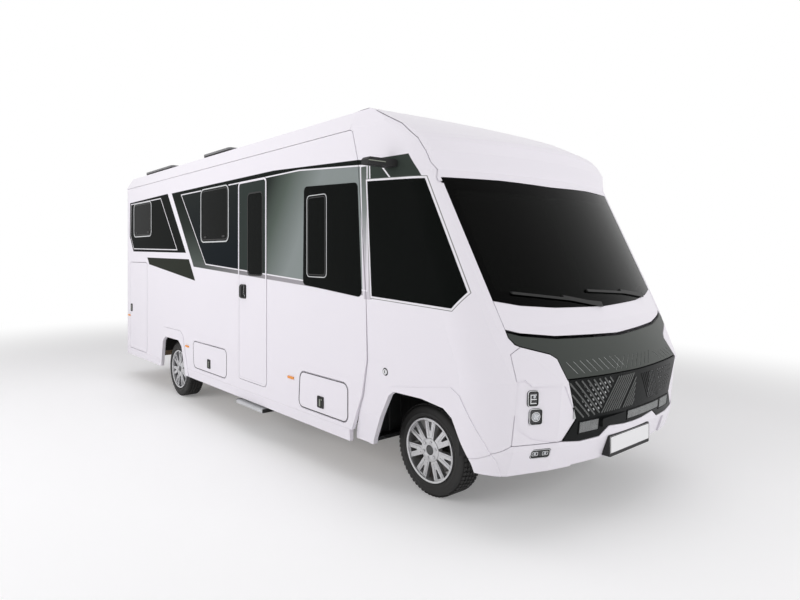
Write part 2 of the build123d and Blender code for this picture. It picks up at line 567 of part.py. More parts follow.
# ======================= floor, chassis, running gear ========================
HOUSE_X0, HOUSE_X1, HOUSE_Y0, HOUSE_Y1, HOUSE_TOP = 1915.0, 2795.0, 440.0, 1048.0, 775.0
with BuildPart() as floor_panel:
    with BuildSketch(Plane.XY.offset(FLOOR_Z0)):
        with Locations(((WALL_REAR_X + 6 + CAB_X) / 2, 0)):
            Rectangle(CAB_X - WALL_REAR_X - 6, 2 * 1112)
        with Locations(((CAB_X + HOUSE_X0 - 4) / 2, 0)):
            Rectangle(HOUSE_X0 - 4 - CAB_X, 2 * 1050)
        with Locations(((HOUSE_X0 + 2600) / 2 - 4, 0)):
            Rectangle(2600 - HOUSE_X0 + 8, 2 * HOUSE_Y0 - 8)
        for side in (-1, 1):
            with Locations((REAR_AXLE_X, side * 950)):
                Rectangle(800, 340, mode=Mode.SUBTRACT)
    extrude(amount=FLOOR_Z1 - FLOOR_Z0)

with BuildPart() as wheel_housings:
    for side in (-1, 1):
        # front boxes, closed above and towards the middle, open below and outside
        with BuildSketch(Plane.XY.offset(FLOOR_Z0)):
            with Locations(((HOUSE_X0 + HOUSE_X1) / 2, side * (HOUSE_Y0 + HOUSE_Y1) / 2)):
                Rectangle(HOUSE_X1 - HOUSE_X0, HOUSE_Y1 - HOUSE_Y0)
        extrude(amount=HOUSE_TOP - FLOOR_Z0)
        with BuildSketch(Plane.XY.offset(FLOOR_Z0)):
            with Locations(((HOUSE_X0 + HOUSE_X1) / 2, side * (HOUSE_Y0 + 12 + 1130) / 2)):
                Rectangle(HOUSE_X1 - HOUSE_X0 - 24, 1130 - HOUSE_Y0 - 12)
        extrude(amount=HOUSE_TOP - 12 - FLOOR_Z0, mode=Mode.SUBTRACT)
    for side in (-1, 1):
        # rear boxes on the floor
        with BuildSketch(Plane.XY.offset(FLOOR_Z1 + 1)):
            with Locations((REAR_AXLE_X, side * 940)):
                Rectangle(820, 344)
        extrude(amount=260)
        with BuildSketch(Plane.XY.offset(FLOOR_Z1 + 1)):
            with Locations((REAR_AXLE_X, side * 958)):
                Rectangle(796, 344)
        extrude(amount=248, mode=Mode.SUBTRACT)

FRAME_Y = 400.0
with BuildPart() as chassis_frame:
    with BuildSketch(Plane.XY.offset(330)):
        for side in (-1, 1):
            with Locations(((WALL_REAR_X + 80 + 3000) / 2, side * FRAME_Y)):
                Rectangle(3000 - WALL_REAR_X - 80, 60)
        for x in (-3200, -2400, -900, 150, 1300, 2960):
            with Locations((x, 0)):
                Rectangle(80, 2 * FRAME_Y)
    extrude(amount=FLOOR_Z0 - 2 - 330)
    # the axle beam passes through a notch in the long members
    with BuildSketch(Plane.XY.offset(300)):
        with Locations((REAR_AXLE_X, 0)):
            Rectangle(130, 1000)
    extrude(amount=80, mode=Mode.SUBTRACT)
    # outriggers that carry the floor's edges
    with BuildSketch(Plane.XY.offset(380)):
        for x in (-2900, -700, 900):
            with Locations((x, 0)):
                Rectangle(60, 2180)
    extrude(amount=FLOOR_Z0 - 2 - 380)

with BuildPart() as under_tanks:
    with BuildSketch(Plane.XY.offset(232)):
        with Locations((750, 0)):
            RectangleRounded(760, 700, 50)
        with Locations((-380, 0)):
            RectangleRounded(620, 700, 50)
    extrude(amount=146)

with BuildPart() as engine_block:
    with BuildSketch(Plane.XY.offset(442)):
        with Locations((2860, 0)):
            Rectangle(440, 660)
    extrude(amount=440)

with BuildPart() as front_suspension:
    with BuildSketch(Plane.XY.offset(236)):
        with Locations((FRONT_X, 0)):
            Rectangle(300, 760)
        for side in (-1, 1):
            Polygon((FRONT_X - 150, side * 370), (FRONT_X + 150, side * 370),
                    (FRONT_X + 30, side * (KING_Y - 50)), (FRONT_X - 30, side * (KING_Y - 50)), align=None)
    extrude(amount=60)
    with BuildSketch(Plane.XY.offset(290)):
        for side in (-1, 1):
            with Locations((FRONT_X, side * FRAME_Y)):
                Rectangle(120, 50)
    extrude(amount=39)

with BuildPart() as rear_axle:
    with BuildSketch(Plane.XZ.offset(-820)):
        with Locations((REAR_AXLE_X, TYRE_R)):
            Circle(45)
    extrude(amount=1640)
    with BuildSketch(Plane.XZ.offset(-FRAME_Y - 40)):
        Polygon((REAR_AXLE_X - 60, 280), (REAR_AXLE_X + 60, 280), (REAR_AXLE_X + 60, 326), (REAR_AXLE_X - 60, 326),
                align=None)
    extrude(amount=20)
    for side in (-1, 1):
        with BuildSketch(Plane.XZ.offset(side * 830 - 10)):
            with Locations((REAR_AXLE_X, TYRE_R)):
                Circle(130)
        extrude(amount=20)

KNUCKLES = {}
for word, side in (("right", -1), ("left", 1)):
    with BuildPart() as knuckle:
        with BuildSketch(Plane.XZ.offset(-side * KING_Y - 22)):
            with Locations((FRONT_X, TYRE_R)):
                RectangleRounded(90, 230, 20)
        extrude(amount=44)
        # brake disc and hub face inside the rim
        with BuildSketch(Plane.XZ.offset(-side * (KING_Y + 90) - 75)):
            with Locations((FRONT_X, TYRE_R)):
                Circle(45)
        extrude(amount=150)
        with BuildSketch(Plane.XZ.offset(-side * (KING_Y + 75) - 12)):
            with Locations((FRONT_X, TYRE_R)):
                Circle(140)
        extrude(amount=24)
    KNUCKLES[word] = knuckle.part

# ======================= wheels ==============================================
# each tyre is a band with narrow flats round its tread
TREAD_FLATS, TREAD_HALF, BEAD_R = 72, 99.0, RIM_R + 2
SPOKES, DISC_R, BARREL_R, SPOKE_T, SPOKE_OUT = 7, 84.0, 213.0, 34.0, 83.0


def tyre_at(x, y):
    with BuildPart() as tyre:
        with BuildSketch(Plane.XZ.offset(-y - TREAD_HALF)):
            with Locations((x, TYRE_R)):
                RegularPolygon(TYRE_R, TREAD_FLATS)
                Circle(BEAD_R, mode=Mode.SUBTRACT)
        extrude(amount=2 * TREAD_HALF)
    return tyre.part


def rim_at(x, y):
    """Alloy wheel: barrel, hub disc and seven spokes that each split in two near the rim."""
    outer = SPOKE_OUT if y > 0 else -(SPOKE_OUT - SPOKE_T)
    with BuildPart() as rim:
        with BuildSketch(Plane.XZ.offset(-y - 96)):
            with Locations((x, TYRE_R)):
                Circle(RIM_R)
                Circle(BARREL_R, mode=Mode.SUBTRACT)
        extrude(amount=192)
        with BuildSketch(Plane.XZ.offset(-y - outer)):
            with Locations((x, TYRE_R)):
                Circle(DISC_R)
                with PolarLocations(0, SPOKES, start_angle=90):
                    Polygon((50, -24), (50, 24), (BARREL_R + 6, 56), (BARREL_R + 6, -56), align=None)
                with PolarLocations(0, SPOKES, start_angle=90):
                    Polygon((138, -5), (138, 5), (BARREL_R - 12, 17), (BARREL_R - 12, -17), align=None,
                            mode=Mode.SUBTRACT)
        extrude(amount=SPOKE_T)
    return rim.part


WHEELS = (("front_right", FRONT_X, -FRONT_Y), ("front_left", FRONT_X, FRONT_Y),
          ("rear_right", REAR_AXLE_X, -REAR_Y), ("rear_left", REAR_AXLE_X, REAR_Y))

# ======================= lamps, small parts ==================================
with BuildPart() as front_lamps:
    add(lens_skin.part)
    add(lamp_prisms(0.0), mode=Mode.INTERSECT)

# black holder that fills the space between the sloping bumper and the upright plate
HOLDER_EDGE, HOLDER_FOOT, PLATE_T = 7.0, 14.0, 4.0
with BuildPart() as plate_holder:
    with BuildSketch(Plane.YZ.offset(NOSE_PLATE_X - 0.5)):
        with Locations((0, PLATE_Z - HOLDER_FOOT / 2)):
            RectangleRounded(PLATE_W + 2 * HOLDER_EDGE, PLATE_H + 2 * HOLDER_EDGE + HOLDER_FOOT, 10)
    extrude(amount=-120)
    add(nose_block(BUMPER_FIELD_DEEP - 0.5), mode=Mode.SUBTRACT)

REAR_PLATE_Z, REAR_PLATE_T = 620.0, 8.0
with BuildPart() as plate_blanks:
    with BuildSketch(Plane.YZ.offset(NOSE_PLATE_X)):
        with Locations((0, PLATE_Z)):
            RectangleRounded(PLATE_W, PLATE_H, 8)
    extrude(amount=PLATE_T)
    with BuildSketch(Plane.YZ.offset(REAR_X - REAR_PLATE_T - 0.5)):
        with Locations((0, REAR_PLATE_Z)):
            RectangleRounded(PLATE_W, PLATE_H, 8)
    extrude(amount=REAR_PLATE_T)

with BuildPart() as side_markers:
    for y0 in (BODY_HALF + 0.3, -BODY_HALF - 8.3):
        with BuildSketch(Plane.XZ.offset(y0)):
            with Locations((-1236, 660), (985, 660), (-3290, 860)):
                RectangleRounded(96, 22, 8)
        extrude(amount=8)

# camera arms in place of mirrors: a tapered arm with a squarer head, on each side over the cab window
ARM_PLAN = ((2225.0, 1151.0), (2335.0, 1151.0), (2318.0, 1250.0), (2316.0, 1395.0), (2242.0, 1395.0),
            (2240.0, 1250.0))
ARM_Z0, ARM_Z1 = 2318.0, 2368.0
with BuildPart() as camera_arms:
    with BuildSketch(Plane.XY.offset(ARM_Z0)):
        for side in (-1, 1):
            Polygon(*[(x, side * y) for x, y in ARM_PLAN], align=None)
    extrude(amount=ARM_Z1 - ARM_Z0)
    chamfer(camera_arms.edges().filter_by(Axis.X).sort_by(Axis.Z)[-2:], length=16)

with BuildPart() as entry_step:
    with BuildSketch(Plane.XY.offset(268)):
        with Locations((300, -1075)):
            RectangleRounded(520, 230, 20)
    extrude(amount=30)

# ======================= inside ==============================================
STEERING_PLANE = Plane(origin=(2330, 480, 1190), x_dir=(0, 1, 0), z_dir=(-0.75, 0, 0.66))
COLUMN_R = 24.0
with BuildPart() as dashboard:
    with BuildSketch(Plane.XZ.offset(-1000)):
        Polygon((2480, 1250), (2560, 1330), (2820, 1335), (3040, 1250), (3040, 1225), (2815, 1305), (2575, 1300),
                (2510, 1235), (2560, 900), (2530, 900), align=None)
    extrude(amount=2000)
    # hole for the steering column
    with BuildSketch(STEERING_PLANE):
        Circle(COLUMN_R + 2)
    extrude(amount=-320, mode=Mode.SUBTRACT)
with BuildPart() as steering_wheel:
    with BuildSketch(STEERING_PLANE):
        Circle(196)
        Circle(172, mode=Mode.SUBTRACT)
        Rectangle(350, 38)
        Circle(60)
    extrude(amount=24)
    with BuildSketch(STEERING_PLANE):
        Circle(COLUMN_R)
    extrude(amount=-280)

with BuildPart() as cab_seats:
    for side in (-1, 1):
        with BuildSketch(Plane.XZ.offset(-side * 500 - 250)):
            Polygon((1350, 860), (1480, 780), (1900, 800), (1930, 900), (1500, 930), (1430, 1560), (1310, 1560),
                    align=None)
        extrude(amount=500)
with BuildPart() as seat_bases:
    with BuildSketch(Plane.XY.offset(FLOOR_Z1 + 1)):
        with Locations((1650, -500), (1650, 500)):
            Rectangle(340, 340)
    extrude(amount=270)

# bed base over the garage: platform and the bulkhead under it are one glued panel
BED_Z, BULKHEAD_X = 1640.0, -2535.0
with BuildPart() as bed_platform:
    with BuildSketch(Plane.XZ.offset(-1105)):
        Polygon((WALL_REAR_X + 8, BED_Z), (BULKHEAD_X, BED_Z), (BULKHEAD_X, FLOOR_Z1 + 2), (BULKHEAD_X + 30, FLOOR_Z1 + 2),
                (BULKHEAD_X + 30, BED_Z), (-1450, BED_Z), (-1450, BED_Z + 30), (WALL_REAR_X + 8, BED_Z + 30),
                align=None)
    extrude(amount=2210)
with BuildPart() as mattress:
    with BuildSketch(Plane.XY.offset(1671)):
        Polygon((WALL_REAR_X + 20, -1090), (-1470, -1090), (-1470, 1090), (WALL_REAR_X + 20, 1090), align=None)
    extrude(amount=140)
# ======================= export ==============================================
PIECES = [
    ("windscreen", windscreen.part), ("scuttle_strip", scuttle_strip.part), ("bonnet", bonnet.part),
    ("lower_grille", lower_grille.part), ("front_bumper", front_bumper.part),
    ("headlamp_panels", headlamp_panels.part), ("front_cap", front_cap.part), ("cab_sides", cab_sides.part),
    ("cab_windows", cab_windows.part), ("side_wall_right", side_wall_right.part),
    ("side_wall_left", side_wall_left.part), ("side_windows", side_windows.part), ("skirts", skirts.part),
    ("rear_arches", rear_arches.part), ("rear_wall", rear_wall.part), ("rear_bumper", rear_bumper.part),
    ("rear_lamps", rear_lamps.part), ("roof_shell", roof_shell.part), ("hatch_frames", hatch_frames.part),
    ("hatch_lid_rear", HATCH_LIDS[0]), ("hatch_lid_front", HATCH_LIDS[1]),
    ("entrance_door", entrance_door.part), ("entrance_door_glass", entrance_door_glass.part),
    ("door_handle", door_handle.part), ("locker_lid_rear", locker_lid_rear.part),
    ("locker_lid_front", locker_lid_front.part), ("garage_door_right", garage_door_right.part),
    ("garage_door_left", garage_door_left.part), ("floor_panel", floor_panel.part),
    ("wheel_housings", wheel_housings.part), ("chassis_frame", chassis_frame.part),
    ("under_tanks", under_tanks.part), ("engine_block", engine_block.part),
    ("front_suspension", front_suspension.part), ("rear_axle", rear_axle.part),
    ("knuckle_right", KNUCKLES["right"]), ("knuckle_left", KNUCKLES["left"]),
    ("front_lamps", front_lamps.part), ("plate_holder", plate_holder.part),
    ("plate_blanks", plate_blanks.part), ("side_markers", side_markers.part),
    ("camera_arms", camera_arms.part), ("wipers", wipers.part), ("entry_step", entry_step.part),
    ("dashboard", dashboard.part), ("steering_wheel", steering_wheel.part), ("cab_seats", cab_seats.part),
    ("seat_bases", seat_bases.part), ("bed_platform", bed_platform.part), ("mattress", mattress.part),
]
for place, x, y in WHEELS:
    PIECES.append(("tyre_" + place, tyre_at(x, y)))
    PIECES.append(("rim_" + place, rim_at(x, y)))
for name, part in PIECES:
    part.label = name
    export_step(part, "parts/" + name + ".step")
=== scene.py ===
import math

import bmesh
import bpy
from mathutils import Matrix, Vector
from mathutils.bvhtree import BVHTree


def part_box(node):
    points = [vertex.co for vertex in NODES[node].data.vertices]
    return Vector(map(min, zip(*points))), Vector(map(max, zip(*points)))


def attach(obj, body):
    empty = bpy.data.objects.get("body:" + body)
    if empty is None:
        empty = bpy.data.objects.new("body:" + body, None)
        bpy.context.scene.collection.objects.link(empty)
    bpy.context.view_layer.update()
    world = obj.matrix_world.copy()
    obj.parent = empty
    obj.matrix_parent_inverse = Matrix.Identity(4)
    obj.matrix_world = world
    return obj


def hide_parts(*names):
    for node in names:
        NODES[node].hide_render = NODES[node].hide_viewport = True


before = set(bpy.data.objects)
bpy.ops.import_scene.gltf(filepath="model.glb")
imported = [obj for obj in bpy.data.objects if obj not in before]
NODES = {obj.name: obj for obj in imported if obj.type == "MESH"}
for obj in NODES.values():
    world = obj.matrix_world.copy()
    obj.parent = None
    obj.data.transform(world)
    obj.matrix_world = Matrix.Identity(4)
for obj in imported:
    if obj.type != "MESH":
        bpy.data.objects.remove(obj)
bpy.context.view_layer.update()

# ---- camera ----
# A level camera stands off the right front corner at eye height. Its frame is
# shifted a little, so that the upright edges of the body stay upright.
CAMERA_AT, CAMERA_TURN = (5.3109, -3.8955, 1.7144), 51.4
LENS_MM, LENS_SHIFT = 26.6, (0.0559, -0.0563)
camera = bpy.data.objects.new("camera", bpy.data.cameras.new("camera"))
camera.location = CAMERA_AT
camera.rotation_euler = (math.pi / 2, 0.0, math.radians(CAMERA_TURN))
camera.data.sensor_width = 36.0
camera.data.lens = LENS_MM
camera.data.shift_x, camera.data.shift_y = LENS_SHIFT
bpy.context.collection.objects.link(camera)
bpy.context.scene.camera = camera
bpy.context.scene.view_settings.view_transform = "Standard"

# ---- floor ----
# A pale plain studio floor. Away from the vehicle it fades into the white
# surround, so that no horizon shows.
FLOOR_HALF, FLOOR_DROP, FADE_FROM, FADE_TO = 60.0, 0.001, 4.2, 8.5
FLOOR_WHITE, FLOOR_LIFT, FADE_SHAPE = (0.88, 0.88, 0.885, 1.0), 0.17, (0.75, 1.0, 1.0)
SMOOTH_ANGLE = math.radians(35)


def add_node(tree, kind, **values):
    """A new shader node of a kind, with its inputs set."""
    node = tree.nodes.new("ShaderNode" + kind)
    for label, value in values.items():
        node.inputs[label.replace("_", " ")].default_value = value
    return node


def link(*pairs):
    """Joins sockets of one tree in pairs, each given as from, to."""
    for source, target in pairs:
        source.id_data.links.new(source, target)


def new_piece(name, bm, material, body=None, smooth=False):
    """Makes an object of a bmesh, with its normals outward, and lets it ride on a body."""
    bmesh.ops.recalc_face_normals(bm, faces=bm.faces)
    mesh = bpy.data.meshes.new(name)
    bm.to_mesh(mesh)
    bm.free()
    obj = bpy.data.objects.new(name, mesh)
    bpy.context.collection.objects.link(obj)
    mesh.materials.append(material)
    if smooth:
        mesh.shade_smooth()
        mesh.set_sharp_from_angle(angle=SMOOTH_ANGLE)
    if body:
        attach(obj, body)
    return obj


floor_paint = bpy.data.materials.new("floor")
floor_paint.use_nodes = True
tree = floor_paint.node_tree
tree.nodes.clear()
out = add_node(tree, "OutputMaterial")
place = add_node(tree, "TexCoord")
spread = add_node(tree, "Mapping", Scale=FADE_SHAPE)
reach = add_node(tree, "VectorMath")
reach.operation = "LENGTH"
fade = add_node(tree, "MapRange", From_Min=FADE_FROM, From_Max=FADE_TO)
fade.interpolation_type = "SMOOTHSTEP"
near = add_node(tree, "BsdfDiffuse", Color=FLOOR_WHITE)
lift = add_node(tree, "Emission", Strength=FLOOR_LIFT)
far = add_node(tree, "Emission")
lifted = add_node(tree, "AddShader")
blend = add_node(tree, "MixShader")
link((place.outputs["Object"], spread.inputs["Vector"]), (spread.outputs["Vector"], reach.inputs[0]),
     (reach.outputs["Value"], fade.inputs["Value"]), (fade.outputs["Result"], blend.inputs["Fac"]),
     (near.outputs["BSDF"], lifted.inputs[0]), (lift.outputs["Emission"], lifted.inputs[1]),
     (lifted.outputs["Shader"], blend.inputs[1]), (far.outputs["Emission"], blend.inputs[2]),
     (blend.outputs["Shader"], out.inputs["Surface"]))
bm = bmesh.new()
bmesh.ops.create_grid(bm, x_segments=1, y_segments=1, size=FLOOR_HALF)
bmesh.ops.translate(bm, vec=(0.0, 0.0, -FLOOR_DROP), verts=bm.verts)
new_piece("floor", bm, floor_paint)

# ---- lights ----
# Three large soft boxes light the paint evenly. The surround is plain white to
# the eye and in reflections, and a softer white where it lights the paint.
SURROUND, SURROUND_STRENGTH = (1.0, 0.985, 1.0, 1.0), 0.46
world = bpy.data.worlds.new("studio")
bpy.context.scene.world = world
world.use_nodes = True
tree = world.node_tree
tree.nodes.clear()
out = add_node(tree, "OutputWorld")
ray = add_node(tree, "LightPath")
plain = add_node(tree, "Background", Color=SURROUND, Strength=SURROUND_STRENGTH)
shown = add_node(tree, "Background", Color=(1.0, 1.0, 1.0, 1.0))
either, any_ray = (add_node(tree, "Math") for n in range(2))
either.operation = any_ray.operation = "MAXIMUM"
blend = add_node(tree, "MixShader")
link((ray.outputs["Is Camera Ray"], either.inputs[0]), (ray.outputs["Is Glossy Ray"], either.inputs[1]),
     (either.outputs[0], any_ray.inputs[0]), (ray.outputs["Is Transmission Ray"], any_ray.inputs[1]),
     (any_ray.outputs[0], blend.inputs["Fac"]), (plain.outputs[0], blend.inputs[1]),
     (shown.outputs[0], blend.inputs[2]), (blend.outputs[0], out.inputs["Surface"]))
# name, place, aimed at, width, height, watts
SOFT_BOXES = (("overhead", (0.5, -1.5, 6.5), (0.0, 0.0, 1.0), 9.0, 4.0, 100.0),
              ("side_box", (-1.0, -8.5, 3.6), (-0.5, 0.0, 1.3), 9.0, 3.0, 275.0),
              ("front_box", (9.0, 1.5, 3.4), (3.0, 0.3, 1.2), 4.0, 3.0, 158.0))
for name, at, aim, wide, tall, watts in SOFT_BOXES:
    lamp = bpy.data.lights.new(name, "AREA")
    lamp.shape, lamp.size, lamp.size_y, lamp.energy = "RECTANGLE", wide, tall, watts
    box = bpy.data.objects.new(name, lamp)
    box.location = at
    box.rotation_euler = (Vector(aim) - Vector(at)).to_track_quat("-Z", "Y").to_euler()
    box.visible_glossy = False
    bpy.context.collection.objects.link(box)

# ---- white panels ----
# Nose, cap, roof and rear are glass-fibre mouldings, bonded to the body, in white
# with a breath of lilac. The paint wanders a little and has a fine orange peel.
WHITE_A, WHITE_B = (0.775, 0.750, 0.800), (0.800, 0.772, 0.822)
PAINT = {"gloss": (0.30, 0.36), "size": 0.8, "grain": 220.0, "relief": 0.02, "IOR": 1.25}


def new_group(name, inputs, outputs):
    """An empty node group and its two end nodes. Inputs are given as name, type, value."""
    nest = bpy.data.node_groups.new(name, "ShaderNodeTree")
    for label, kind, value in inputs:
        socket = nest.interface.new_socket(label, in_out="INPUT", socket_type="NodeSocket" + kind)
        socket.default_value = value
    for label, kind in outputs:
        nest.interface.new_socket(label, in_out="OUTPUT", socket_type="NodeSocket" + kind)
    return nest, nest.nodes.new("NodeGroupInput"), nest.nodes.new("NodeGroupOutput")


def fill(socket, value):
    """Links or sets an input, as the value is a socket or a number."""
    if isinstance(value, bpy.types.NodeSocket):
        link((value, socket))
    else:
        socket.default_value = value


def calc(operation, *values, clamp=False):
    """A math node in the tree of the sockets that feed it; gives its result."""
    tree = next(value.id_data for value in values if isinstance(value, bpy.types.NodeSocket))
    node = add_node(tree, "Math")
    node.operation, node.use_clamp = operation, clamp
    for socket, value in zip(node.inputs, values):
        fill(socket, value)
    return node.outputs[0]


def mix(factor, a, b):
    """A colour between a and b, each a socket or a colour, by a factor's socket."""
    node = add_node(factor.id_data, "Mix")
    node.data_type = "RGBA"
    for number, value in ((0, factor), (6, a), (7, b)):
        fill(node.inputs[number], value)
    return node.outputs[2]


TONE, start, end = new_group(
    "tone", (("Shade A", "Color", (0.5, 0.5, 0.5, 1.0)), ("Shade B", "Color", (0.6, 0.6, 0.6, 1.0)),
             ("Size", "Float", 2.0), ("Gloss A", "Float", 0.3), ("Gloss B", "Float", 0.4),
             ("Grain", "Float", 150.0), ("Relief", "Float", 0.05)),
    (("Color", "Color"), ("Roughness", "Float"), ("Normal", "Vector")))
where = add_node(TONE, "TexCoord")
cloud = add_node(TONE, "TexNoise", Detail=3.0)
grain = add_node(TONE, "TexNoise")
relief = add_node(TONE, "Bump", Distance=0.001)
span = calc("SUBTRACT", start.outputs["Gloss B"], start.outputs["Gloss A"])
link((where.outputs["Object"], cloud.inputs["Vector"]), (where.outputs["Object"], grain.inputs["Vector"]),
     (start.outputs["Size"], cloud.inputs["Scale"]), (start.outputs["Grain"], grain.inputs["Scale"]),
     (grain.outputs["Fac"], relief.inputs["Height"]), (start.outputs["Relief"], relief.inputs["Strength"]),
     (mix(cloud.outputs["Fac"], start.outputs["Shade A"], start.outputs["Shade B"]), end.inputs["Color"]),
     (calc("MULTIPLY_ADD", grain.outputs["Fac"], span, start.outputs["Gloss A"]),
      end.inputs["Roughness"]),
     (relief.outputs["Normal"], end.inputs["Normal"]))


def finish(name, dark, light, gloss=(0.30, 0.42), size=2.0, grain=150.0, relief=0.05, **fixed):
    """A material that wanders between two shades; fixed sets the shader's own sockets."""
    material = bpy.data.materials.new(name)
    material.use_nodes = True
    tree = material.node_tree
    shader = tree.nodes["Principled BSDF"]
    tone = add_node(tree, "Group")
    tone.node_tree = TONE
    for label, value in (("Shade A", (*dark, 1.0)), ("Shade B", (*light, 1.0)), ("Size", size),
                         ("Gloss A", gloss[0]), ("Gloss B", gloss[1]), ("Grain", grain), ("Relief", relief)):
        tone.inputs[label].default_value = value
    link((tone.outputs["Color"], shader.inputs["Base Color"]),
         (tone.outputs["Roughness"], shader.inputs["Roughness"]),
         (tone.outputs["Normal"], shader.inputs["Normal"]))
    for label, value in fixed.items():
        shader.inputs[label.replace("_", " ")].default_value = value
    return material


def dress(material, names):
    """Gives the frame's nodes of those names a material."""
    for name in names.split():
        for spot in NODES[name].material_slots:
            spot.material = material


def repaint(material, nest, inputs):
    """Runs a finish's base colour through a group whose first input takes it."""
    tree = material.node_tree
    shader = tree.nodes["Principled BSDF"]
    design = add_node(tree, "Group")
    design.node_tree = nest
    under = shader.inputs["Base Color"].links[0].from_socket
    link((under, design.inputs[inputs]), (design.outputs["Color"], shader.inputs["Base Color"]))


white_paint = finish("white_paint", WHITE_A, WHITE_B, **PAINT)
dress(white_paint, "scuttle_strip headlamp_panels front_bumper front_cap rear_wall rear_bumper roof_shell")

# ---- flanks ----
# The sandwich walls, doors, lids and cab sides carry dark foil fields and thin
# white lines, all straight-edged, so each is drawn as an overlap of half-planes.
WHITE_LINE = (0.80, 0.78, 0.82, 1.0)
LINE_WIDE, STRIP_TOP = 0.011, 1.64
SHARP = 330.0                       # an edge fades over 3 mm
JAMB_X, HINGE_X = 0.568, 0.016      # front and rear edges of the entrance door


def object_axes(tree):
    """The sockets that carry a place's X, Y and Z."""
    where = add_node(tree, "TexCoord")
    axes = add_node(tree, "SeparateXYZ")
    link((where.outputs["Object"], axes.inputs[0]))
    return axes.outputs


LIVERY, start, end = new_group("livery", (("Paint", "Color", (0.8, 0.8, 0.8, 1.0)),), (("Color", "Color"),))
axes = object_axes(LIVERY)
ALONG, UP = axes["X"], axes["Z"]


def depth(along, up, points):
    """How deep a place lies inside a convex field, given by its corners in a side or front view."""
    middle = Vector((sum(x for x, z in points), sum(z for x, z in points))) / len(points)
    nearest = None
    for (xa, za), (xb, zb) in zip(points, points[1:] + points[:1]):
        inward = Vector((za - zb, xb - xa)).normalized()
        if inward.dot(middle - Vector((xa, za))) < 0:
            inward = -inward
        away = -inward.dot(Vector((xa, za)))
        edge = calc("MULTIPLY_ADD", up, inward[1], calc("MULTIPLY_ADD", along, inward[0], away))
        nearest = edge if nearest is None else calc("MINIMUM", nearest, edge)
    return nearest


def inside(deep, more_than=0.0):
    """1 where the depth is more than the given one, with an edge 3 mm soft."""
    return calc("MULTIPLY_ADD", deep, SHARP, 0.5 - SHARP * more_than, clamp=True)


def border(deep, wide):
    """1 in a line of the given width along a field's border."""
    return calc("SUBTRACT", inside(deep), inside(deep, wide), clamp=True)


def ramp(value, *stops):
    """A colour from stops of position and colour."""
    node = add_node(value.id_data, "ValToRGB")
    for number, (at, shade) in enumerate(stops):
        stop = node.color_ramp.elements[number] if number < 2 else node.color_ramp.elements.new(at)
        stop.position, stop.color = at, (*shade, 1.0)
    link((value, node.inputs["Fac"]))
    return node.outputs["Color"]


FIELDS = {
    "rear": [(-3.268, 2.451), (-1.846, 2.470), (-1.278, 1.739), (-3.120, 1.763), (-3.283, 1.977)],
    "rear_line": [(-3.233, 2.432), (-2.078, 2.435), (-1.535, 1.770), (-3.110, 1.796), (-3.250, 1.985)],
    "wedge": [(-2.565, 1.681), (-1.196, 1.665), (-1.020, 1.424), (-2.492, 1.591)],
    "band": [(-1.715, 2.464), (0.697, 2.474), (1.904, 2.418), (2.012, 2.405), (2.012, 1.415),
             (-1.063, 1.5815)],
    "band_line": [(-1.431, 2.427), (1.110, 2.435), (2.012, 2.372), (2.012, 1.447), (-0.746, 1.608)],
    "over_cab": [(2.012, 2.405), (2.440, 2.395), (2.600, 2.150), (2.012, 2.150)],
    "cab_pin": [(2.150, 2.350), (2.166, 2.350), (2.268, 2.246), (2.252, 2.246)],
    "cab_pane": [(2.009, 2.248), (2.565, 2.217), (2.912, 1.486), (2.818, 1.384), (2.058, 1.419)],
    "pillar": [(1.925, 2.372), (2.040, 2.372), (2.070, 1.380), (1.960, 1.380)]}
deep = {name: depth(ALONG, UP, points) for name, points in FIELDS.items()}
area = {name: inside(value) for name, value in deep.items()}
# forward of the door the grey lightens downwards and forwards
slope = calc("MAXIMUM", calc("MULTIPLY_ADD", ALONG, 0.833, -0.473), 0.0)
fall = calc("MULTIPLY_ADD", UP, -0.556, 1.333)
lighten = ramp(calc("ADD", slope, fall), (0.05, (0.024, 0.029, 0.026)),
               (0.75, (0.235, 0.262, 0.258)), (0.33, (0.088, 0.108, 0.094)))
behind_door = ramp(calc("MULTIPLY_ADD", UP, -1.0, 2.5),
                   (0.0, (0.020, 0.023, 0.022)), (0.75, (0.011, 0.014, 0.017)))
low_edge = ramp(calc("MULTIPLY_ADD", ALONG, 0.4, 0.5),
                (0.15, (0.085, 0.095, 0.090)), (0.80, (0.32, 0.305, 0.325)))
pillar_shade = ramp(calc("MULTIPLY_ADD", UP, -1.0, 2.45), (0.05, (0.085, 0.10, 0.088)),
                    (0.85, (0.58, 0.55, 0.60)), (0.42, (0.22, 0.24, 0.235)))
inner = mix(calc("GREATER_THAN", ALONG, HINGE_X), behind_door, (0.034, 0.042, 0.039, 1.0))
inner = mix(calc("GREATER_THAN", ALONG, JAMB_X), inner, lighten)
ring_shade = ramp(calc("MULTIPLY_ADD", UP, -1.0, 2.45), (0.05, (0.012, 0.0145, 0.013)),
                  (0.80, (0.075, 0.088, 0.080)), (0.45, (0.026, 0.031, 0.028)))
outer = mix(calc("GREATER_THAN", UP, STRIP_TOP), low_edge, ring_shade)
color = start.outputs["Paint"]
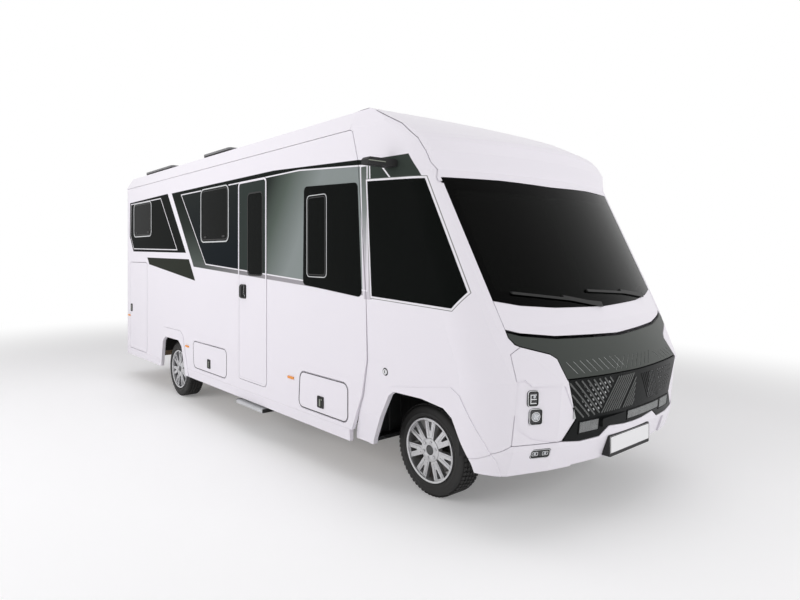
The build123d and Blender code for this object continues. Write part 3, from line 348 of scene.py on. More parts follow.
for mask, shade in ((area["wedge"], (0.028, 0.031, 0.025, 1.0)), (area["rear"], (0.0095, 0.0105, 0.0100, 1.0)),
                    (border(deep["rear_line"], LINE_WIDE), WHITE_LINE), (area["band"], outer),
                    (area["over_cab"], (0.040, 0.049, 0.043, 1.0)), (area["band_line"], inner),
                    (area["pillar"], pillar_shade), (border(deep["pillar"], LINE_WIDE), WHITE_LINE),
                    (border(deep["band_line"], LINE_WIDE), WHITE_LINE), (area["cab_pin"], WHITE_LINE),
                    (inside(deep["cab_pane"], -0.0200), (0.13, 0.14, 0.13, 1.0)),
                    (inside(deep["cab_pane"], -0.0155), WHITE_LINE)):
    color = mix(mask, color, shade)
link((color, end.inputs["Color"]))
flank_paint = finish("flank_paint", WHITE_A, WHITE_B, **{**PAINT, "IOR": 1.04})
repaint(flank_paint, LIVERY, "Paint")
dress(flank_paint, "cab_sides side_wall_right side_wall_left skirts rear_arches entrance_door locker_lid_rear "
                   "locker_lid_front garage_door_right garage_door_left")

# ---- bonnet and grille ----
# The bonnet is a thin graphite moulding, hinged under the screen. The black
# grille below it is one moulding whose leaning slats stand over bright backing
# sheets. The slats' lighter grey is a painted highlight, and the backing's
# bright grey is painted light, in place of light seen through the slots.
# rows of the nose: height, then x and y where its bow ends, and x of its tip
BOW_ROWS = ((0.330, 3.215, 0.800, 3.310), (0.560, 3.308, 0.749, 3.385),
            (0.960, 3.348, 0.755, 3.425), (1.270, 3.090, 1.040, 3.230))
SLAT_WIDE, SLAT_PROUD, SHEET_THICK = 0.011, 0.005, 0.0012
OUTER_PITCH, INNER_PITCH = 0.0353, 0.026
WIRE_PITCH, WIRE_HALF, LIP_HALF = 0.0115, 0.0009, 0.004
NOSE_TIP = 3.4248         # nothing stands in front of it
# front views of the sheets behind the slots: y0, y1, z0, z1, how far back
# the bright sheets behind the upper grille slots are painted light, in place of light seen through the holes
# and glinting on the slat edges
PAINTED_LIGHT_BACKS = ((-0.640, -0.190, 0.722, 0.942, 0.003), (0.190, 0.640, 0.722, 0.942, 0.003))
# the black sheets behind the low windows are painted shade: they stand in for the dark, shaded inside of the
# nose behind the wires
WINDOW_BACKS = ((-0.590, -0.405, 0.625, 0.700, 0.004), (0.405, 0.590, 0.625, 0.700, 0.004),
                (-0.090, 0.390, 0.638, 0.698, 0.004))
# the pale sheets under the bonnet slits are a painted highlight, standing in for the light lines glinting in
# the slits
SLIT_HIGHLIGHT_BACKS = ((-0.700, -0.145, 0.985, 1.068, 0.0015), (-0.250, 0.310, 0.974, 1.056, 0.0015),
              (0.330, 0.700, 0.974, 1.040, 0.0015))


def nose_at(y, z, proud=0.0):
    """The place on the bowed nose that is seen at y, z from the front."""
    for (z0, *low), (z1, *high) in zip(BOW_ROWS, BOW_ROWS[1:]):
        if z <= z1:
            break
    share = (z - z0) / (z1 - z0)
    bow_x, bow_y, tip = (a + (b - a) * share for a, b in zip(low, high))
    radius = (bow_y ** 2 + (tip - bow_x) ** 2) / (2 * (tip - bow_x))
    return Vector((tip - radius + math.sqrt(radius ** 2 - y ** 2) + proud, y, z))


def grid(bm, steps, rows):
    """Adds a grid; gives its points, each with its shares of the way along and up."""
    made = bmesh.ops.create_grid(bm, x_segments=steps, y_segments=rows, size=0.5)["verts"]
    return [(vert, vert.co.x + 0.5, vert.co.y + 0.5) for vert in made]


def lay(bm, corners, steps, rows, proud, thick):
    """Lays a four-cornered strip, drawn in front view, on the nose and thickens it."""
    a, b, c, d = (Vector(corner) for corner in corners)
    made = grid(bm, steps, rows)
    for vert, along, across in made:
        y, z = a.lerp(b, along).lerp(d.lerp(c, along), across)
        vert.co = nose_at(y, z, min(proud, NOSE_TIP - nose_at(y, z).x) - thick)
    faces = {face for vert, along, across in made for face in vert.link_faces}
    bmesh.ops.recalc_face_normals(bm, faces=list(faces))
    if thick:
        bmesh.ops.solidify(bm, geom=list(faces), thickness=thick)


def chord(points, at, way):
    """The two ends of the part of a line that runs inside a convex outline."""
    middle = sum((Vector(point) for point in points), Vector((0.0, 0.0))) / len(points)
    first, last = -9.0, 9.0
    for a, b in zip(points, points[1:] + points[:1]):
        inward = Vector((a[1] - b[1], b[0] - a[0]))
        if inward.dot(middle - Vector(a)) < 0:
            inward = -inward
        speed, reach = inward.dot(way), inward.dot(Vector(a) - at)
        if speed > 0:
            first = max(first, reach / speed)
        elif speed < 0:
            last = min(last, reach / speed)
    return (at + way * first, at + way * last) if last > first else None


def soften(obj, width, segments=2):
    """Rounds a piece's hard edges by a few millimetres."""
    edge = obj.modifiers.new("soft_edges", "BEVEL")
    edge.width, edge.segments, edge.limit_method = width, segments, "ANGLE"
    edge.angle_limit = math.radians(40)
    return obj


graphite = finish("graphite_paint", (0.026, 0.031, 0.027), (0.034, 0.040, 0.035), gloss=(0.36, 0.44),
                  relief=0.02, Specular_IOR_Level=0.30)
gloss_black = finish("gloss_black", (0.009, 0.010, 0.010), (0.014, 0.015, 0.015), gloss=(0.18, 0.28),
                     relief=0.02, IOR=1.12)
# painted highlight: the slats are part of the black grille moulding, but get a lighter grey in place of their
# sheen
slat_painted_highlight = finish("slat_painted_highlight", (0.050, 0.054, 0.051), (0.075, 0.080, 0.076), gloss=(0.22, 0.32), relief=0.02)
# painted light: a bright grey backing in place of light seen through the grille slots and glinting on the slat
# edges
painted_light_backing = finish("backing_with_painted_light", (0.34, 0.35, 0.35), (0.60, 0.61, 0.62), gloss=(0.3, 0.45), size=30.0,
               grain=900.0, relief=0.3)
wire_grey = finish("wire_grey", (0.30, 0.31, 0.31), (0.46, 0.47, 0.47), gloss=(0.35, 0.5), size=20.0)
# painted highlight: a pale grey sheet under the bonnet slits in place of the light glinting in them
slit_painted_highlight = finish("slit_painted_highlight", (0.50, 0.52, 0.51), (0.66, 0.68, 0.67), gloss=(0.3, 0.4), size=20.0)
dress(graphite, "bonnet")
dress(gloss_black, "lower_grille")

# sheets behind the slots: those of the upper grille and the bonnet slits are painted light, pale in place of
# light seen through and glinting on the edges; those of the low windows are painted shade, black in place of
# the shaded inside of the nose
for name, sheets, material, body, slot in (
        ("grille_backing_painted_light", PAINTED_LIGHT_BACKS, painted_light_backing, "coach", "grey_plastic"),
        ("window_painted_shade", WINDOW_BACKS, gloss_black, "coach", "black_plastic"),
        ("bonnet_slit_painted_highlight", SLIT_HIGHLIGHT_BACKS, slit_painted_highlight, "bonnet", "grey_plastic")):
    bm = bmesh.new()
    for y0, y1, z0, z1, back in sheets:
        lay(bm, ((y0, z0), (y1, z0), (y1, z1), (y0, z1)), 24, 4, -back, SHEET_THICK)
    new_piece(name, bm, material, body, smooth=True)

# outer slats lean one way and stand over the holes, bright with painted light from the backing; inner ones lean
# the other way
OUTER_FIELD = [(-0.706, 0.957), (-0.272, 0.950), (-0.412, 0.728), (-0.616, 0.722)]
INNER_FIELD = [(-0.262, 0.945), (-0.020, 0.945), (-0.020, 0.728), (-0.402, 0.728)]
OUTER_WAY, INNER_WAY = Vector((0.743, -0.669)), Vector((-0.589, -0.808))
bm = bmesh.new()
slats = [(OUTER_FIELD, Vector((-0.312, 0.930)) - Vector((0.669, 0.743)) * OUTER_PITCH * n, OUTER_WAY)
         for n in range(-1, 13)]
slats += [(INNER_FIELD, Vector((-0.217 + INNER_PITCH * n, 0.928)), INNER_WAY) for n in range(-1, 15)]
for outline, at, way in slats:
    run = chord(outline, at, way)
    if run is None or (run[1] - run[0]).length < 0.03:
        continue
    half = Vector((-way.y, way.x)) * SLAT_WIDE / 2
    for side in (1, -1):
        corners = [(side * p.x, p.y) for p in (run[0] - half, run[1] - half, run[1] + half, run[0] + half)]
        lay(bm, corners, 6, 1, SLAT_PROUD, SLAT_PROUD + 0.002)
slat_piece = new_piece("grille_slats", bm, slat_painted_highlight, "coach")
soften(slat_piece, 0.002)

# fine crossing wires in the three low windows, inside a raised black lip
bm = bmesh.new()
lips = bmesh.new()
for y0, y1, z0, z1, back in WINDOW_BACKS:
    outline = [(y0, z0), (y1, z0), (y1, z1), (y0, z1)]
    for way in (Vector((0.78, 0.62)), Vector((0.78, -0.62))):
        for n in range(60):
            run = chord(outline, Vector((y0 - 0.10 + WIRE_PITCH * n, z0)), way)
            if run is None or (run[1] - run[0]).length < 0.012 or run[1].x > y1 + 0.001:
                continue
            half = Vector((-way.y, way.x)) * WIRE_HALF
            lay(bm, (run[0] - half, run[1] - half, run[1] + half, run[0] + half), 2, 1, 0.002, 0.0015)
    for a, b in zip(outline, outline[1:] + outline[:1]):
        a, b = Vector(a), Vector(b)
        half = Vector((a.y - b.y, b.x - a.x)).normalized() * LIP_HALF
        way = (b - a).normalized() * LIP_HALF
        lay(lips, (a - half - way, b - half + way, b + half + way, a + half - way), 10, 1, 0.005, 0.006)
new_piece("window_wires", bm, wire_grey, "coach")
soften(new_piece("window_lips", lips, gloss_black, "coach"), 0.0015)

# ---- screen and wipers ----
# The windscreen is one bowed pane of green-tinted laminated glass, bonded in.
# A black printed border hides the bond. Two wipers park along its lower edge.
CLEAR_VIEW = [(-0.975, 2.140), (0.975, 2.140), (0.955, 1.500), (0.500, 1.425), (0.0, 1.415),
              (-0.500, 1.425), (-0.955, 1.500)]
PRINT_BLACK = (0.004, 0.0045, 0.004, 1.0)
BORDER, start, end = new_group("printed_border", (("Glass", "Color", (0.5, 0.5, 0.5, 1.0)),),
                               (("Color", "Color"),))
axes = object_axes(BORDER)
clear = inside(depth(axes["Y"], axes["Z"], CLEAR_VIEW))
link((mix(clear, PRINT_BLACK, start.outputs["Glass"]), end.inputs["Color"]))
screen_glass = finish("screen_glass", (0.014, 0.017, 0.014), (0.022, 0.026, 0.022), gloss=(0.0, 0.02),
                      relief=0.0, Transmission_Weight=0.94, IOR=1.12)
repaint(screen_glass, BORDER, "Glass")
black_plastic = finish("black_plastic", (0.014, 0.014, 0.014), (0.024, 0.024, 0.024), gloss=(0.45, 0.6),
                       grain=400.0, relief=0.25, Specular_IOR_Level=0.30)
dress(screen_glass, "windscreen")
dress(black_plastic, "wipers camera_arms wheel_housings under_tanks door_handle plate_holder")

# ---- screen blind ----
# A pleated blind of dark polyester runs in rails behind the screen. Half drawn,
# it hangs from the top rail in upright folds beside its pale end bar.
PLEATS, FOLD, BLIND_SPAN, BLIND_HIGH = 44, 0.014, (-0.960, -0.060), (1.470, 2.120)
SCREEN_FOOT, SCREEN_HEAD, SCREEN_BOW = 3.130, 2.800, 0.140   # x at the middle, low and high; bow at the sides
SET_BACK = 0.075


def behind_screen(y, z, back):
    """A place behind the screen's bow, at the height z."""
    foot, head = BLIND_HIGH
    share = (z - foot) / (head - foot)
    return Vector((SCREEN_FOOT + (SCREEN_HEAD - SCREEN_FOOT) * share - SCREEN_BOW * y * y - back, y, z))


blind_cloth = finish("blind_cloth", (0.030, 0.036, 0.030), (0.050, 0.058, 0.049), gloss=(0.7, 0.9), size=8.0,
                     grain=900.0, relief=0.3, Sheen_Weight=0.2)
rail_grey = finish("rail_grey", (0.21, 0.23, 0.19), (0.28, 0.30, 0.25), gloss=(0.35, 0.5), grain=300.0)
bm = bmesh.new()
for vert, along, up in grid(bm, PLEATS, 6):
    y = BLIND_SPAN[0] + (BLIND_SPAN[1] - BLIND_SPAN[0]) * along
    z = BLIND_HIGH[0] + (BLIND_HIGH[1] - BLIND_HIGH[0]) * up
    vert.co = behind_screen(y, z, SET_BACK + FOLD * (round(along * PLEATS) % 2))
area = sum(face.calc_area() for face in bm.faces)
blind = new_piece("screen_blind", bm, blind_cloth, "coach")

bm = bmesh.new()
for vert, across, up in grid(bm, 1, 6):
    vert.co = behind_screen(-0.050 + 0.040 * up + 0.085 * (across - 0.5), 1.455 + 0.675 * up, 0.066)
for y0, y1, z, tall in ((-0.960, -0.060, 2.150, 0.030), (-0.960, 0.700, 2.105, 0.014),
                        (0.170, 0.640, 2.150, 0.022), (-0.960, 0.960, 1.455, 0.030)):
    for vert, along, up in grid(bm, 12, 1):
        vert.co = behind_screen(y0 + (y1 - y0) * along, z + (up - 0.5) * tall, 0.060)
bmesh.ops.recalc_face_normals(bm, faces=bm.faces)
bmesh.ops.solidify(bm, geom=bm.faces[:], thickness=0.010)
rails = new_piece("blind_rails", bm, rail_grey, "coach")
soften(rails, 0.002)

# ---- lamps ----
# Each corner carries two square lamps and a low fog lamp: a clear acrylic cover
# over a dark reflector with bright projector rings. Rear lamps are red acrylic.
# kind, y, z, width, height of the covers on the right half
LAMP_COVERS = (("bars", 0.915, 0.871, 0.064, 0.096), ("round", 0.894, 0.761, 0.078, 0.098),
               ("pair", 0.850, 0.536, 0.122, 0.060))


def plate(wide, tall, corner, thick, band=0.0):
    """A rounded plate that lies on the XY plane and rises by its thickness, or a ring if it has a band."""
    part = bmesh.new()
    bmesh.ops.create_grid(part, x_segments=1, y_segments=1, size=0.5)
    bmesh.ops.scale(part, vec=(wide, tall, 1.0), verts=part.verts)
    bmesh.ops.bevel(part, geom=part.verts[:], offset=corner, segments=5, profile=0.5, affect="VERTICES",
                    material=-1)
    if band:
        rim = bmesh.ops.inset_region(part, faces=part.faces[:], thickness=band, use_even_offset=True,
                                      use_boundary=True)["faces"]
        bmesh.ops.delete(part, geom=[face for face in part.faces if face not in rim], context="FACES")
    made = bmesh.ops.extrude_face_region(part, geom=part.faces[:])["geom"]
    raised = [item for item in made if isinstance(item, bmesh.types.BMVert)]
    bmesh.ops.translate(part, vec=(0.0, 0.0, thick), verts=raised)
    return part


def disc(radius, thick, top=None, segments=28):
    """A round plate that stands on the XY plane, narrower at its top if a top radius is given."""
    part = bmesh.new()
    bmesh.ops.create_cone(part, cap_ends=True, segments=segments, radius1=radius,
                          radius2=radius if top is None else top, depth=thick)
    bmesh.ops.translate(part, vec=(0.0, 0.0, thick / 2), verts=part.verts)
    return part


def dome(radius, rise, segments=20):
    """A low dome on the XY plane, spun from a short arc."""
    part = bmesh.new()
    arc = [part.verts.new((radius * math.sin(math.radians(a)), 0.0, rise * math.cos(math.radians(a))))
           for a in (90, 72, 54, 36, 18, 0)]
    edges = [part.edges.new(pair) for pair in zip(arc, arc[1:])]
    bmesh.ops.spin(part, geom=arc + edges, cent=(0.0, 0.0, 0.0), axis=(0.0, 0.0, 1.0), angle=math.tau,
                   steps=segments, use_merge=True)
    bmesh.ops.remove_doubles(part, verts=part.verts, dist=0.00001)
    return part


def stand(spot, facing, tilt=0.0):
    """The turn that stands a flat shape on a spot, facing outwards, its own up still upwards."""
    out_way = Vector(facing).normalized()
    right = Vector((0.0, 0.0, 1.0)).cross(out_way).normalized()
    turn = Matrix((right, out_way.cross(right), out_way)).transposed().to_4x4()
    return Matrix.Translation(spot) @ turn @ Matrix.Rotation(tilt, 4, "Z")


def join(bm, part, there, shift=(0.0, 0.0, 0.0)):
    """Adds a finished shape to a mesh: by a matrix, or flat as drawn with its middle on a spot."""
    if not isinstance(there, Matrix):
        there = Matrix.Translation(there)
    bmesh.ops.recalc_face_normals(part, faces=part.faces)
    bmesh.ops.transform(part, matrix=there @ Matrix.Translation(shift), verts=part.verts)
    shape = bpy.data.meshes.new("shape")
    part.to_mesh(shape)
    part.free()
    bm.from_mesh(shape)
    bpy.data.meshes.remove(shape)


def touch(node, at, way):
    """Where a line first meets a node of the frame, and the way the node faces there."""
    mesh = NODES[node].data
    tree = BVHTree.FromPolygons([vert.co for vert in mesh.vertices],
                                [tuple(face.vertices) for face in mesh.polygons])
    return tree.ray_cast(Vector(at), Vector(way))[:2]


clear_lens = finish("clear_lens", (0.10, 0.105, 0.11), (0.14, 0.145, 0.15), gloss=(0.02, 0.06), relief=0.0,
                    Transmission_Weight=0.75, IOR=1.49)
red_lens = finish("red_lens", (0.30, 0.006, 0.006), (0.42, 0.012, 0.012), gloss=(0.06, 0.14), relief=0.02,
                  Transmission_Weight=0.2)
orange_lens = finish("orange_lens", (0.80, 0.27, 0.03), (0.90, 0.34, 0.04), gloss=(0.08, 0.16), relief=0.02,
                     Transmission_Weight=0.1)
chrome = finish("bright_reflector", (0.70, 0.71, 0.72), (0.80, 0.81, 0.82), gloss=(0.10, 0.2), Metallic=0.9)
lamp_glass = finish("projector_glass", (0.40, 0.42, 0.45), (0.55, 0.57, 0.60), gloss=(0.02, 0.05), relief=0.0,
                    Coat_Weight=0.5)
dress(clear_lens, "front_lamps")
dress(red_lens, "rear_lamps")
dress(orange_lens, "side_markers")
bezels, rings, domes = bmesh.new(), bmesh.new(), bmesh.new()
for side in (-1, 1):
    for kind, y, z, wide, tall in LAMP_COVERS:
        spot, facing = touch("front_lamps", (4.0, side * y, z), (-1.0, 0.0, 0.0))
        there = stand(spot, facing)
        broad = wide / max(0.35, abs(there.col[0].y))     # along the slanting nose
        join(rings, plate(broad - 0.001, tall - 0.001, 0.018, 0.0042, band=0.003), there)
        join(bezels, plate(broad - 0.006, tall - 0.006, 0.016, 0.0035, band=0.007), there)
        if kind == "pair":
            for x in (-0.26 * broad, 0.26 * broad):
                join(rings, plate(0.30 * broad, 0.026, 0.004, 0.002, band=0.003), there, (x, 0.0, 0.0))
                join(domes, dome(0.009, 0.004), there, (x, 0.0, 0.0005))
        elif kind == "round":
            join(rings, plate(0.056, 0.056, 0.026, 0.002, band=0.004), there)
            join(domes, dome(0.022, 0.004), there, (0.0, 0.0, 0.0005))
            for turn in (0.0, math.pi / 2):
                join(rings, plate(0.046, 0.003, 0.001, 0.005), there @ Matrix.Rotation(turn + 0.6, 4, "Z"))
        else:
            for z_bar in (0.022, -0.004, -0.028):
                join(rings, plate(0.034, 0.005, 0.002, 0.003), there, (0.004, z_bar, 0.0))
            join(rings, plate(0.005, 0.058, 0.002, 0.003), there, (-0.016, -0.003, 0.0))
            join(domes, dome(0.009, 0.004), there, (0.008, 0.010, 0.0005))
new_piece("lamp_bezels", bezels, black_plastic, "coach")
new_piece("lamp_rings", rings, chrome, "coach")
new_piece("lamp_domes", domes, lamp_glass, "coach", smooth=True)
bm = bmesh.new()
for side in (-1, 1):
    for z in (0.860, 1.010, 1.160):
        join(bm, plate(0.122, 0.152, 0.024, 0.006, band=0.007), stand((-3.4255, side * 1.010, z), (-1, 0, 0)))
new_piece("rear_lamp_bezels", bm, black_plastic, "coach")

# ---- plates ----
# Two blank registration plates, white-painted aluminium, sit in black holders.
# A narrow black line is printed round each edge.
plate_white = finish("plate_white", (0.76, 0.76, 0.77), (0.81, 0.81, 0.82), gloss=(0.25, 0.35), relief=0.02)
dress(plate_white, "plate_blanks")
bm = bmesh.new()
join(bm, plate(0.520, 0.110, 0.008, 0.0006, band=0.004), stand((3.3751, 0.0, 0.495), (1, 0, 0)))
join(bm, plate(0.520, 0.110, 0.008, 0.0004, band=0.004), stand((-3.4336, 0.0, 0.620), (-1, 0, 0)))
join(bm, plate(0.540, 0.130, 0.010, 0.004, band=0.009), stand((-3.4255, 0.0, 0.620), (-1, 0, 0)))
new_piece("plate_edges", bm, black_plastic, "coach")

# ---- side windows ----
# Double acrylic panes are hinged at the top in slim pale frames. The large fixed
# pane beside the table holds a smaller opening one, and has a curtain behind it.
RIGHT_Y, LEFT_Y = -1.152, 1.152      # outer faces of the panes
# x0, x1, z0, z1 of the framed panes, corner radius and width of the frame
FRAMED = {"bed": (-3.095, -2.400, 1.958, 2.427), "room": (-0.864, -0.186, 1.848, 2.436),
          "bath": (0.340, 0.960, 1.560, 2.240), "opening": (1.230, 1.513, 1.532, 2.204)}
FRAME_ROUND, FRAME_BAND = 0.072, 0.013
dark_glass = finish("dark_glass", (0.007, 0.009, 0.008), (0.012, 0.014, 0.013), gloss=(0.02, 0.05), relief=0.0,
                    Transmission_Weight=0.6, IOR=1.09)
window_frame = finish("window_frame", (0.50, 0.51, 0.52), (0.60, 0.61, 0.62), gloss=(0.3, 0.4), grain=300.0)
dress(dark_glass, "cab_windows side_windows entrance_door_glass")


def frame_on(bm, x0, x1, z0, z1, y, corner, band, thick):
    """Sets an upright rounded frame on a flank."""
    facing = (0.0, math.copysign(1.0, y), 0.0)
    middle = ((x0 + x1) / 2, y, (z0 + z1) / 2)
    join(bm, plate(x1 - x0, z1 - z0, corner, thick, band=band), stand(middle, facing))


bm = bmesh.new()
seals = bmesh.new()
for word, y in (("bed", RIGHT_Y), ("room", RIGHT_Y), ("bed", LEFT_Y), ("room", LEFT_Y), ("bath", LEFT_Y)):
    x0, x1, z0, z1 = FRAMED[word]
    frame_on(bm, x0, x1, z0, z1, y, FRAME_ROUND, FRAME_BAND, 0.004)
    inner = FRAME_BAND + 0.012
    frame_on(seals, x0 + inner, x1 - inner, z0 + inner, z1 - inner, y, 0.050, 0.010, 0.003)
    # two latches at the lower edge of each pane
    for x in (x0 + 0.12, x1 - 0.12):
        join(seals, plate(0.060, 0.018, 0.004, 0.005), stand((x, y, z0 + 0.060), (0, y, 0)))
for y in (RIGHT_Y, LEFT_Y):
    x0, x1, z0, z1 = FRAMED["opening"]
    frame_on(bm, x0, x1, z0, z1, y, 0.040, 0.007, 0.003)
    frame_on(seals, x0 + 0.018, x1 - 0.018, z0 + 0.018, z1 - 0.018, y, 0.030, 0.008, 0.004)
soften(new_piece("window_frames", bm, window_frame, "coach"), 0.001)
new_piece("window_seals", seals, black_plastic, "coach")

curtain_cloth = finish("curtain_cloth", (0.16, 0.15, 0.13), (0.22, 0.21, 0.18), gloss=(0.75, 0.95), size=6.0,
                       grain=800.0, relief=0.3, Sheen_Weight=0.2)
FOLDS, (x0, x1, z0, z1) = 36, (1.640, 1.900, 1.470, 2.230)
rail = bmesh.new()
for name, side in (("table_curtain", -1), ("table_curtain_left", 1)):
    bm = bmesh.new()
    for vert, along, up in grid(bm, FOLDS, 8):
        wave = 0.011 * math.sin(along * FOLDS * math.pi / 3) * (1.15 - 0.35 * up)
        vert.co = Vector((x0 + (x1 - x0) * along + 0.012 * (1 - up) * math.sin(3 * along),
                          side * (1.060 + wave), z0 + (z1 - z0) * up))
    area = sum(face.calc_area() for face in bm.faces)
    tall = z1 - z0
    curtain = new_piece(name, bm, curtain_cloth, "coach", smooth=True)
    join(rail, plate(0.760, 0.022, 0.005, 0.016), stand((1.550, side * 1.052, 2.244), (0, side, 0)))
new_piece("curtain_rails", rail, rail_grey, "coach")

# ---- entrance door ----
# The door leaf is a foil-covered sandwich in a white-lacquered aluminium frame.
# Its paddle handle, lock and slim window frame are set into the outer skin.
DOOR_Y = -1.1502
door_frame = finish("door_frame", WHITE_A, WHITE_B, **PAINT)
bm = bmesh.new()
frame_on(bm, 0.017, 0.567, 0.501, 2.432, DOOR_Y, 0.050, 0.019, 0.003)
soften(new_piece("door_frame", bm, door_frame, "entrance_door"), 0.001)
bm = bmesh.new()
frame_on(bm, 0.204, 0.500, 1.516, 2.310, DOOR_Y, 0.050, 0.013, 0.003)
frame_on(bm, 0.060, 0.180, 1.290, 1.428, DOOR_Y, 0.018, 0.006, 0.003)
soften(new_piece("door_seals", bm, black_plastic, "entrance_door"), 0.001)
bm = bmesh.new()
for x, z, wide, tall, turn in ((0.152, 1.372, 0.010, 0.090, -0.12), (0.088, 1.360, 0.006, 0.108, 0.0)):
    join(bm, plate(wide, tall, 0.0028, 0.004), stand((x, -1.1640, z), (0, -1, 0), turn))
join(bm, disc(0.009, 0.003), stand((0.166, -1.1640, 1.322), (0, -1, 0)))
soften(new_piece("door_handle_trim", bm, chrome, "entrance_door"), 0.0008)

# ---- lids and fuel filler ----
# Lockers and the rear garage close with black paddle latches, each let into its
# lid. The fuel filler's round lock sits above the front wheel.
# lid, x, z of the latch's middle, width, height
LATCHES = (("locker_lid_rear", -0.658, 0.538, 0.075, 0.098),
           ("locker_lid_front", 1.427, 0.532, 0.088, 0.094),
           ("garage_door_right", -3.190, 0.975, 0.066, 0.106),
           ("garage_door_left", -3.190, 0.975, 0.066, 0.106))
# lid, width of its dark seal, x0, x1, z0, z1, lean of its rear edge
LID_SEALS = (("locker_lid_rear", 0.0035, -1.067, -0.240, 0.446, 0.741, -0.075),
             ("locker_lid_front", 0.0055, 1.115, 1.783, 0.440, 0.739, 0.074))
GARAGE, LID_Y = (-3.262, -2.572, 0.412, 1.611), 1.1502
for lid, x, z, wide, tall in LATCHES:
    side = 1 if lid.endswith("left") else -1
    there = stand((x, side * LID_Y, z), (0, side, 0))
    bm = bmesh.new()
    join(bm, plate(wide, tall, 0.010, 0.003), there)
    join(bm, plate(wide, tall, 0.010, 0.006, band=0.007), there)
    join(bm, disc(0.010, 0.004, 0.008), there, (wide * 0.22, tall * 0.24, 0.003))
    soften(new_piece(lid + "_latch", bm, black_plastic, lid), 0.001)
    bm = bmesh.new()
    join(bm, plate(0.016, tall * 0.62, 0.003, 0.005), there, (-wide * 0.08, -tall * 0.05, 0.003))
    join(bm, disc(0.0065, 0.002), there, (wide * 0.22, tall * 0.24, 0.007))
    soften(new_piece(lid + "_paddle", bm, rail_grey, lid), 0.0008)
for lid, edge, x0, x1, z0, z1, lean in LID_SEALS:
    bm = bmesh.new()
    frame_on(bm, x0 + 0.0005, x1 - 0.0005, z0 + 0.0005, z1 - 0.0005, -LID_Y, 0.058, edge, 0.0015)
    for vert in bm.verts:
        if vert.co.x < (x0 + x1) / 2:
            vert.co.x += lean * (vert.co.z - (z0 + z1) / 2)
    new_piece(lid + "_seal", bm, black_plastic, lid)
x0, x1, z0, z1 = GARAGE
for side, lid in ((-1, "garage_door_right"), (1, "garage_door_left")):
    bm = bmesh.new()
    frame_on(bm, x0 + 0.001, x1 - 0.001, z0 + 0.001, z1 - 0.001, side * LID_Y, 0.050, 0.004, 0.0012)
    new_piece(lid + "_edge", bm, door_frame, lid)
bm, dark = bmesh.new(), bmesh.new()
for side in (-1, 1):
    spot, facing = touch("cab_sides", (2.195, side * 3.0, 0.893), (0.0, -side, 0.0))
    there = stand(spot, facing)
    join(dark, disc(0.028, 0.0025, 0.026), there)
    join(bm, disc(0.021, 0.005, 0.019), there, (0.0, 0.0, 0.001))
    join(dark, plate(0.006, 0.022, 0.002, 0.0015), there, (0.0, 0.0, 0.006))
new_piece("filler_lock", bm, chrome, "coach")
new_piece("filler_ring", dark, black_plastic, "coach")

# ---- camera arms ----
# Slim black arms over the side windows carry rear-view cameras in place of
# mirrors. Each has a pale cover strip and a lens in its back face.
bm, lenses = bmesh.new(), bmesh.new()
for side in (-1, 1):
    join(bm, plate(0.150, 0.006, 0.002, 0.002), stand((2.3175, side * 1.318, 2.344), (1, 0, 0)))
    join(lenses, disc(0.012, 0.003, 0.010), stand((2.2410, side * 1.350, 2.343), (-1, 0, 0)))
    join(lenses, plate(0.070, 0.034, 0.008, 0.0015, band=0.004),
         stand((2.2412, side * 1.345, 2.343), (-1, 0, 0)))
new_piece("arm_strips", bm, rail_grey, "coach")
new_piece("arm_lenses", lenses, gloss_black, "coach")

# ---- wheels ----
# Cast alloy wheels with seven split spokes carry commercial tyres. Each tyre has
# ribs and shoulder blocks; behind the spokes sit an iron disc and its caliper.
# place, x, y of the wheel's middle, outward side
WHEELS = (("front_right", 2.352, -0.768, -1), ("front_left", 2.352, 0.768, 1),
          ("rear_right", -1.665, -0.977, -1), ("rear_left", -1.665, 0.977, 1))
HUB_Z, TYRE_R = 0.325, 0.325
# half section of a tyre, from tread's middle to bead: distance from the axle, distance outwards
TYRE_HALF = ((0.3185, 0.0), (0.3185, 0.012), (0.3110, 0.014), (0.3110, 0.020), (0.3185, 0.022),
             (0.3175, 0.048), (0.3100, 0.050), (0.3100, 0.056), (0.3170, 0.058), (0.3140, 0.078),
             (0.3080, 0.0885), (0.2960, 0.0945), (0.2800, 0.0975), (0.2640, 0.0985), (0.2625, 0.0995),
             (0.2585, 0.0995), (0.2570, 0.0985), (0.2450, 0.0945), (0.2350, 0.0900), (0.2290, 0.0850),
             (0.2285, 0.0700))
TYRE_SECTION = list(TYRE_HALF) + [(radius, -out_way) for radius, out_way in reversed(TYRE_HALF[1:])]
BLOCKS, BLOCK_TURN, TREAD_REACH = 60, math.tau / 60, TYRE_R - 0.0003
# sections of the wheel's trim: distance from the axle, distance outwards
LIP = ((0.2270, 0.0930), (0.2270, 0.0985), (0.2235, 0.0990), (0.2160, 0.0960), (0.2125, 0.0900))
HUB = ((0.0840, 0.0830), (0.0820, 0.0870), (0.0740, 0.0895), (0.0560, 0.0900), (0.0360, 0.0880),
       (0.0340, 0.0860), (0.0335, 0.0835))
BOLT_RING = ((0.0150, 0.0), (0.0145, 0.0022), (0.0120, 0.0022), (0.0115, 0.0))
CAP_RING = ((0.0345, 0.0850), (0.0345, 0.0880), (0.0320, 0.0890))
BRAKE = ((0.060, 0.012), (0.060, 0.020), (0.172, 0.020), (0.172, 0.000), (0.060, 0.000))
SPOKES, BOLTS = 7, 6
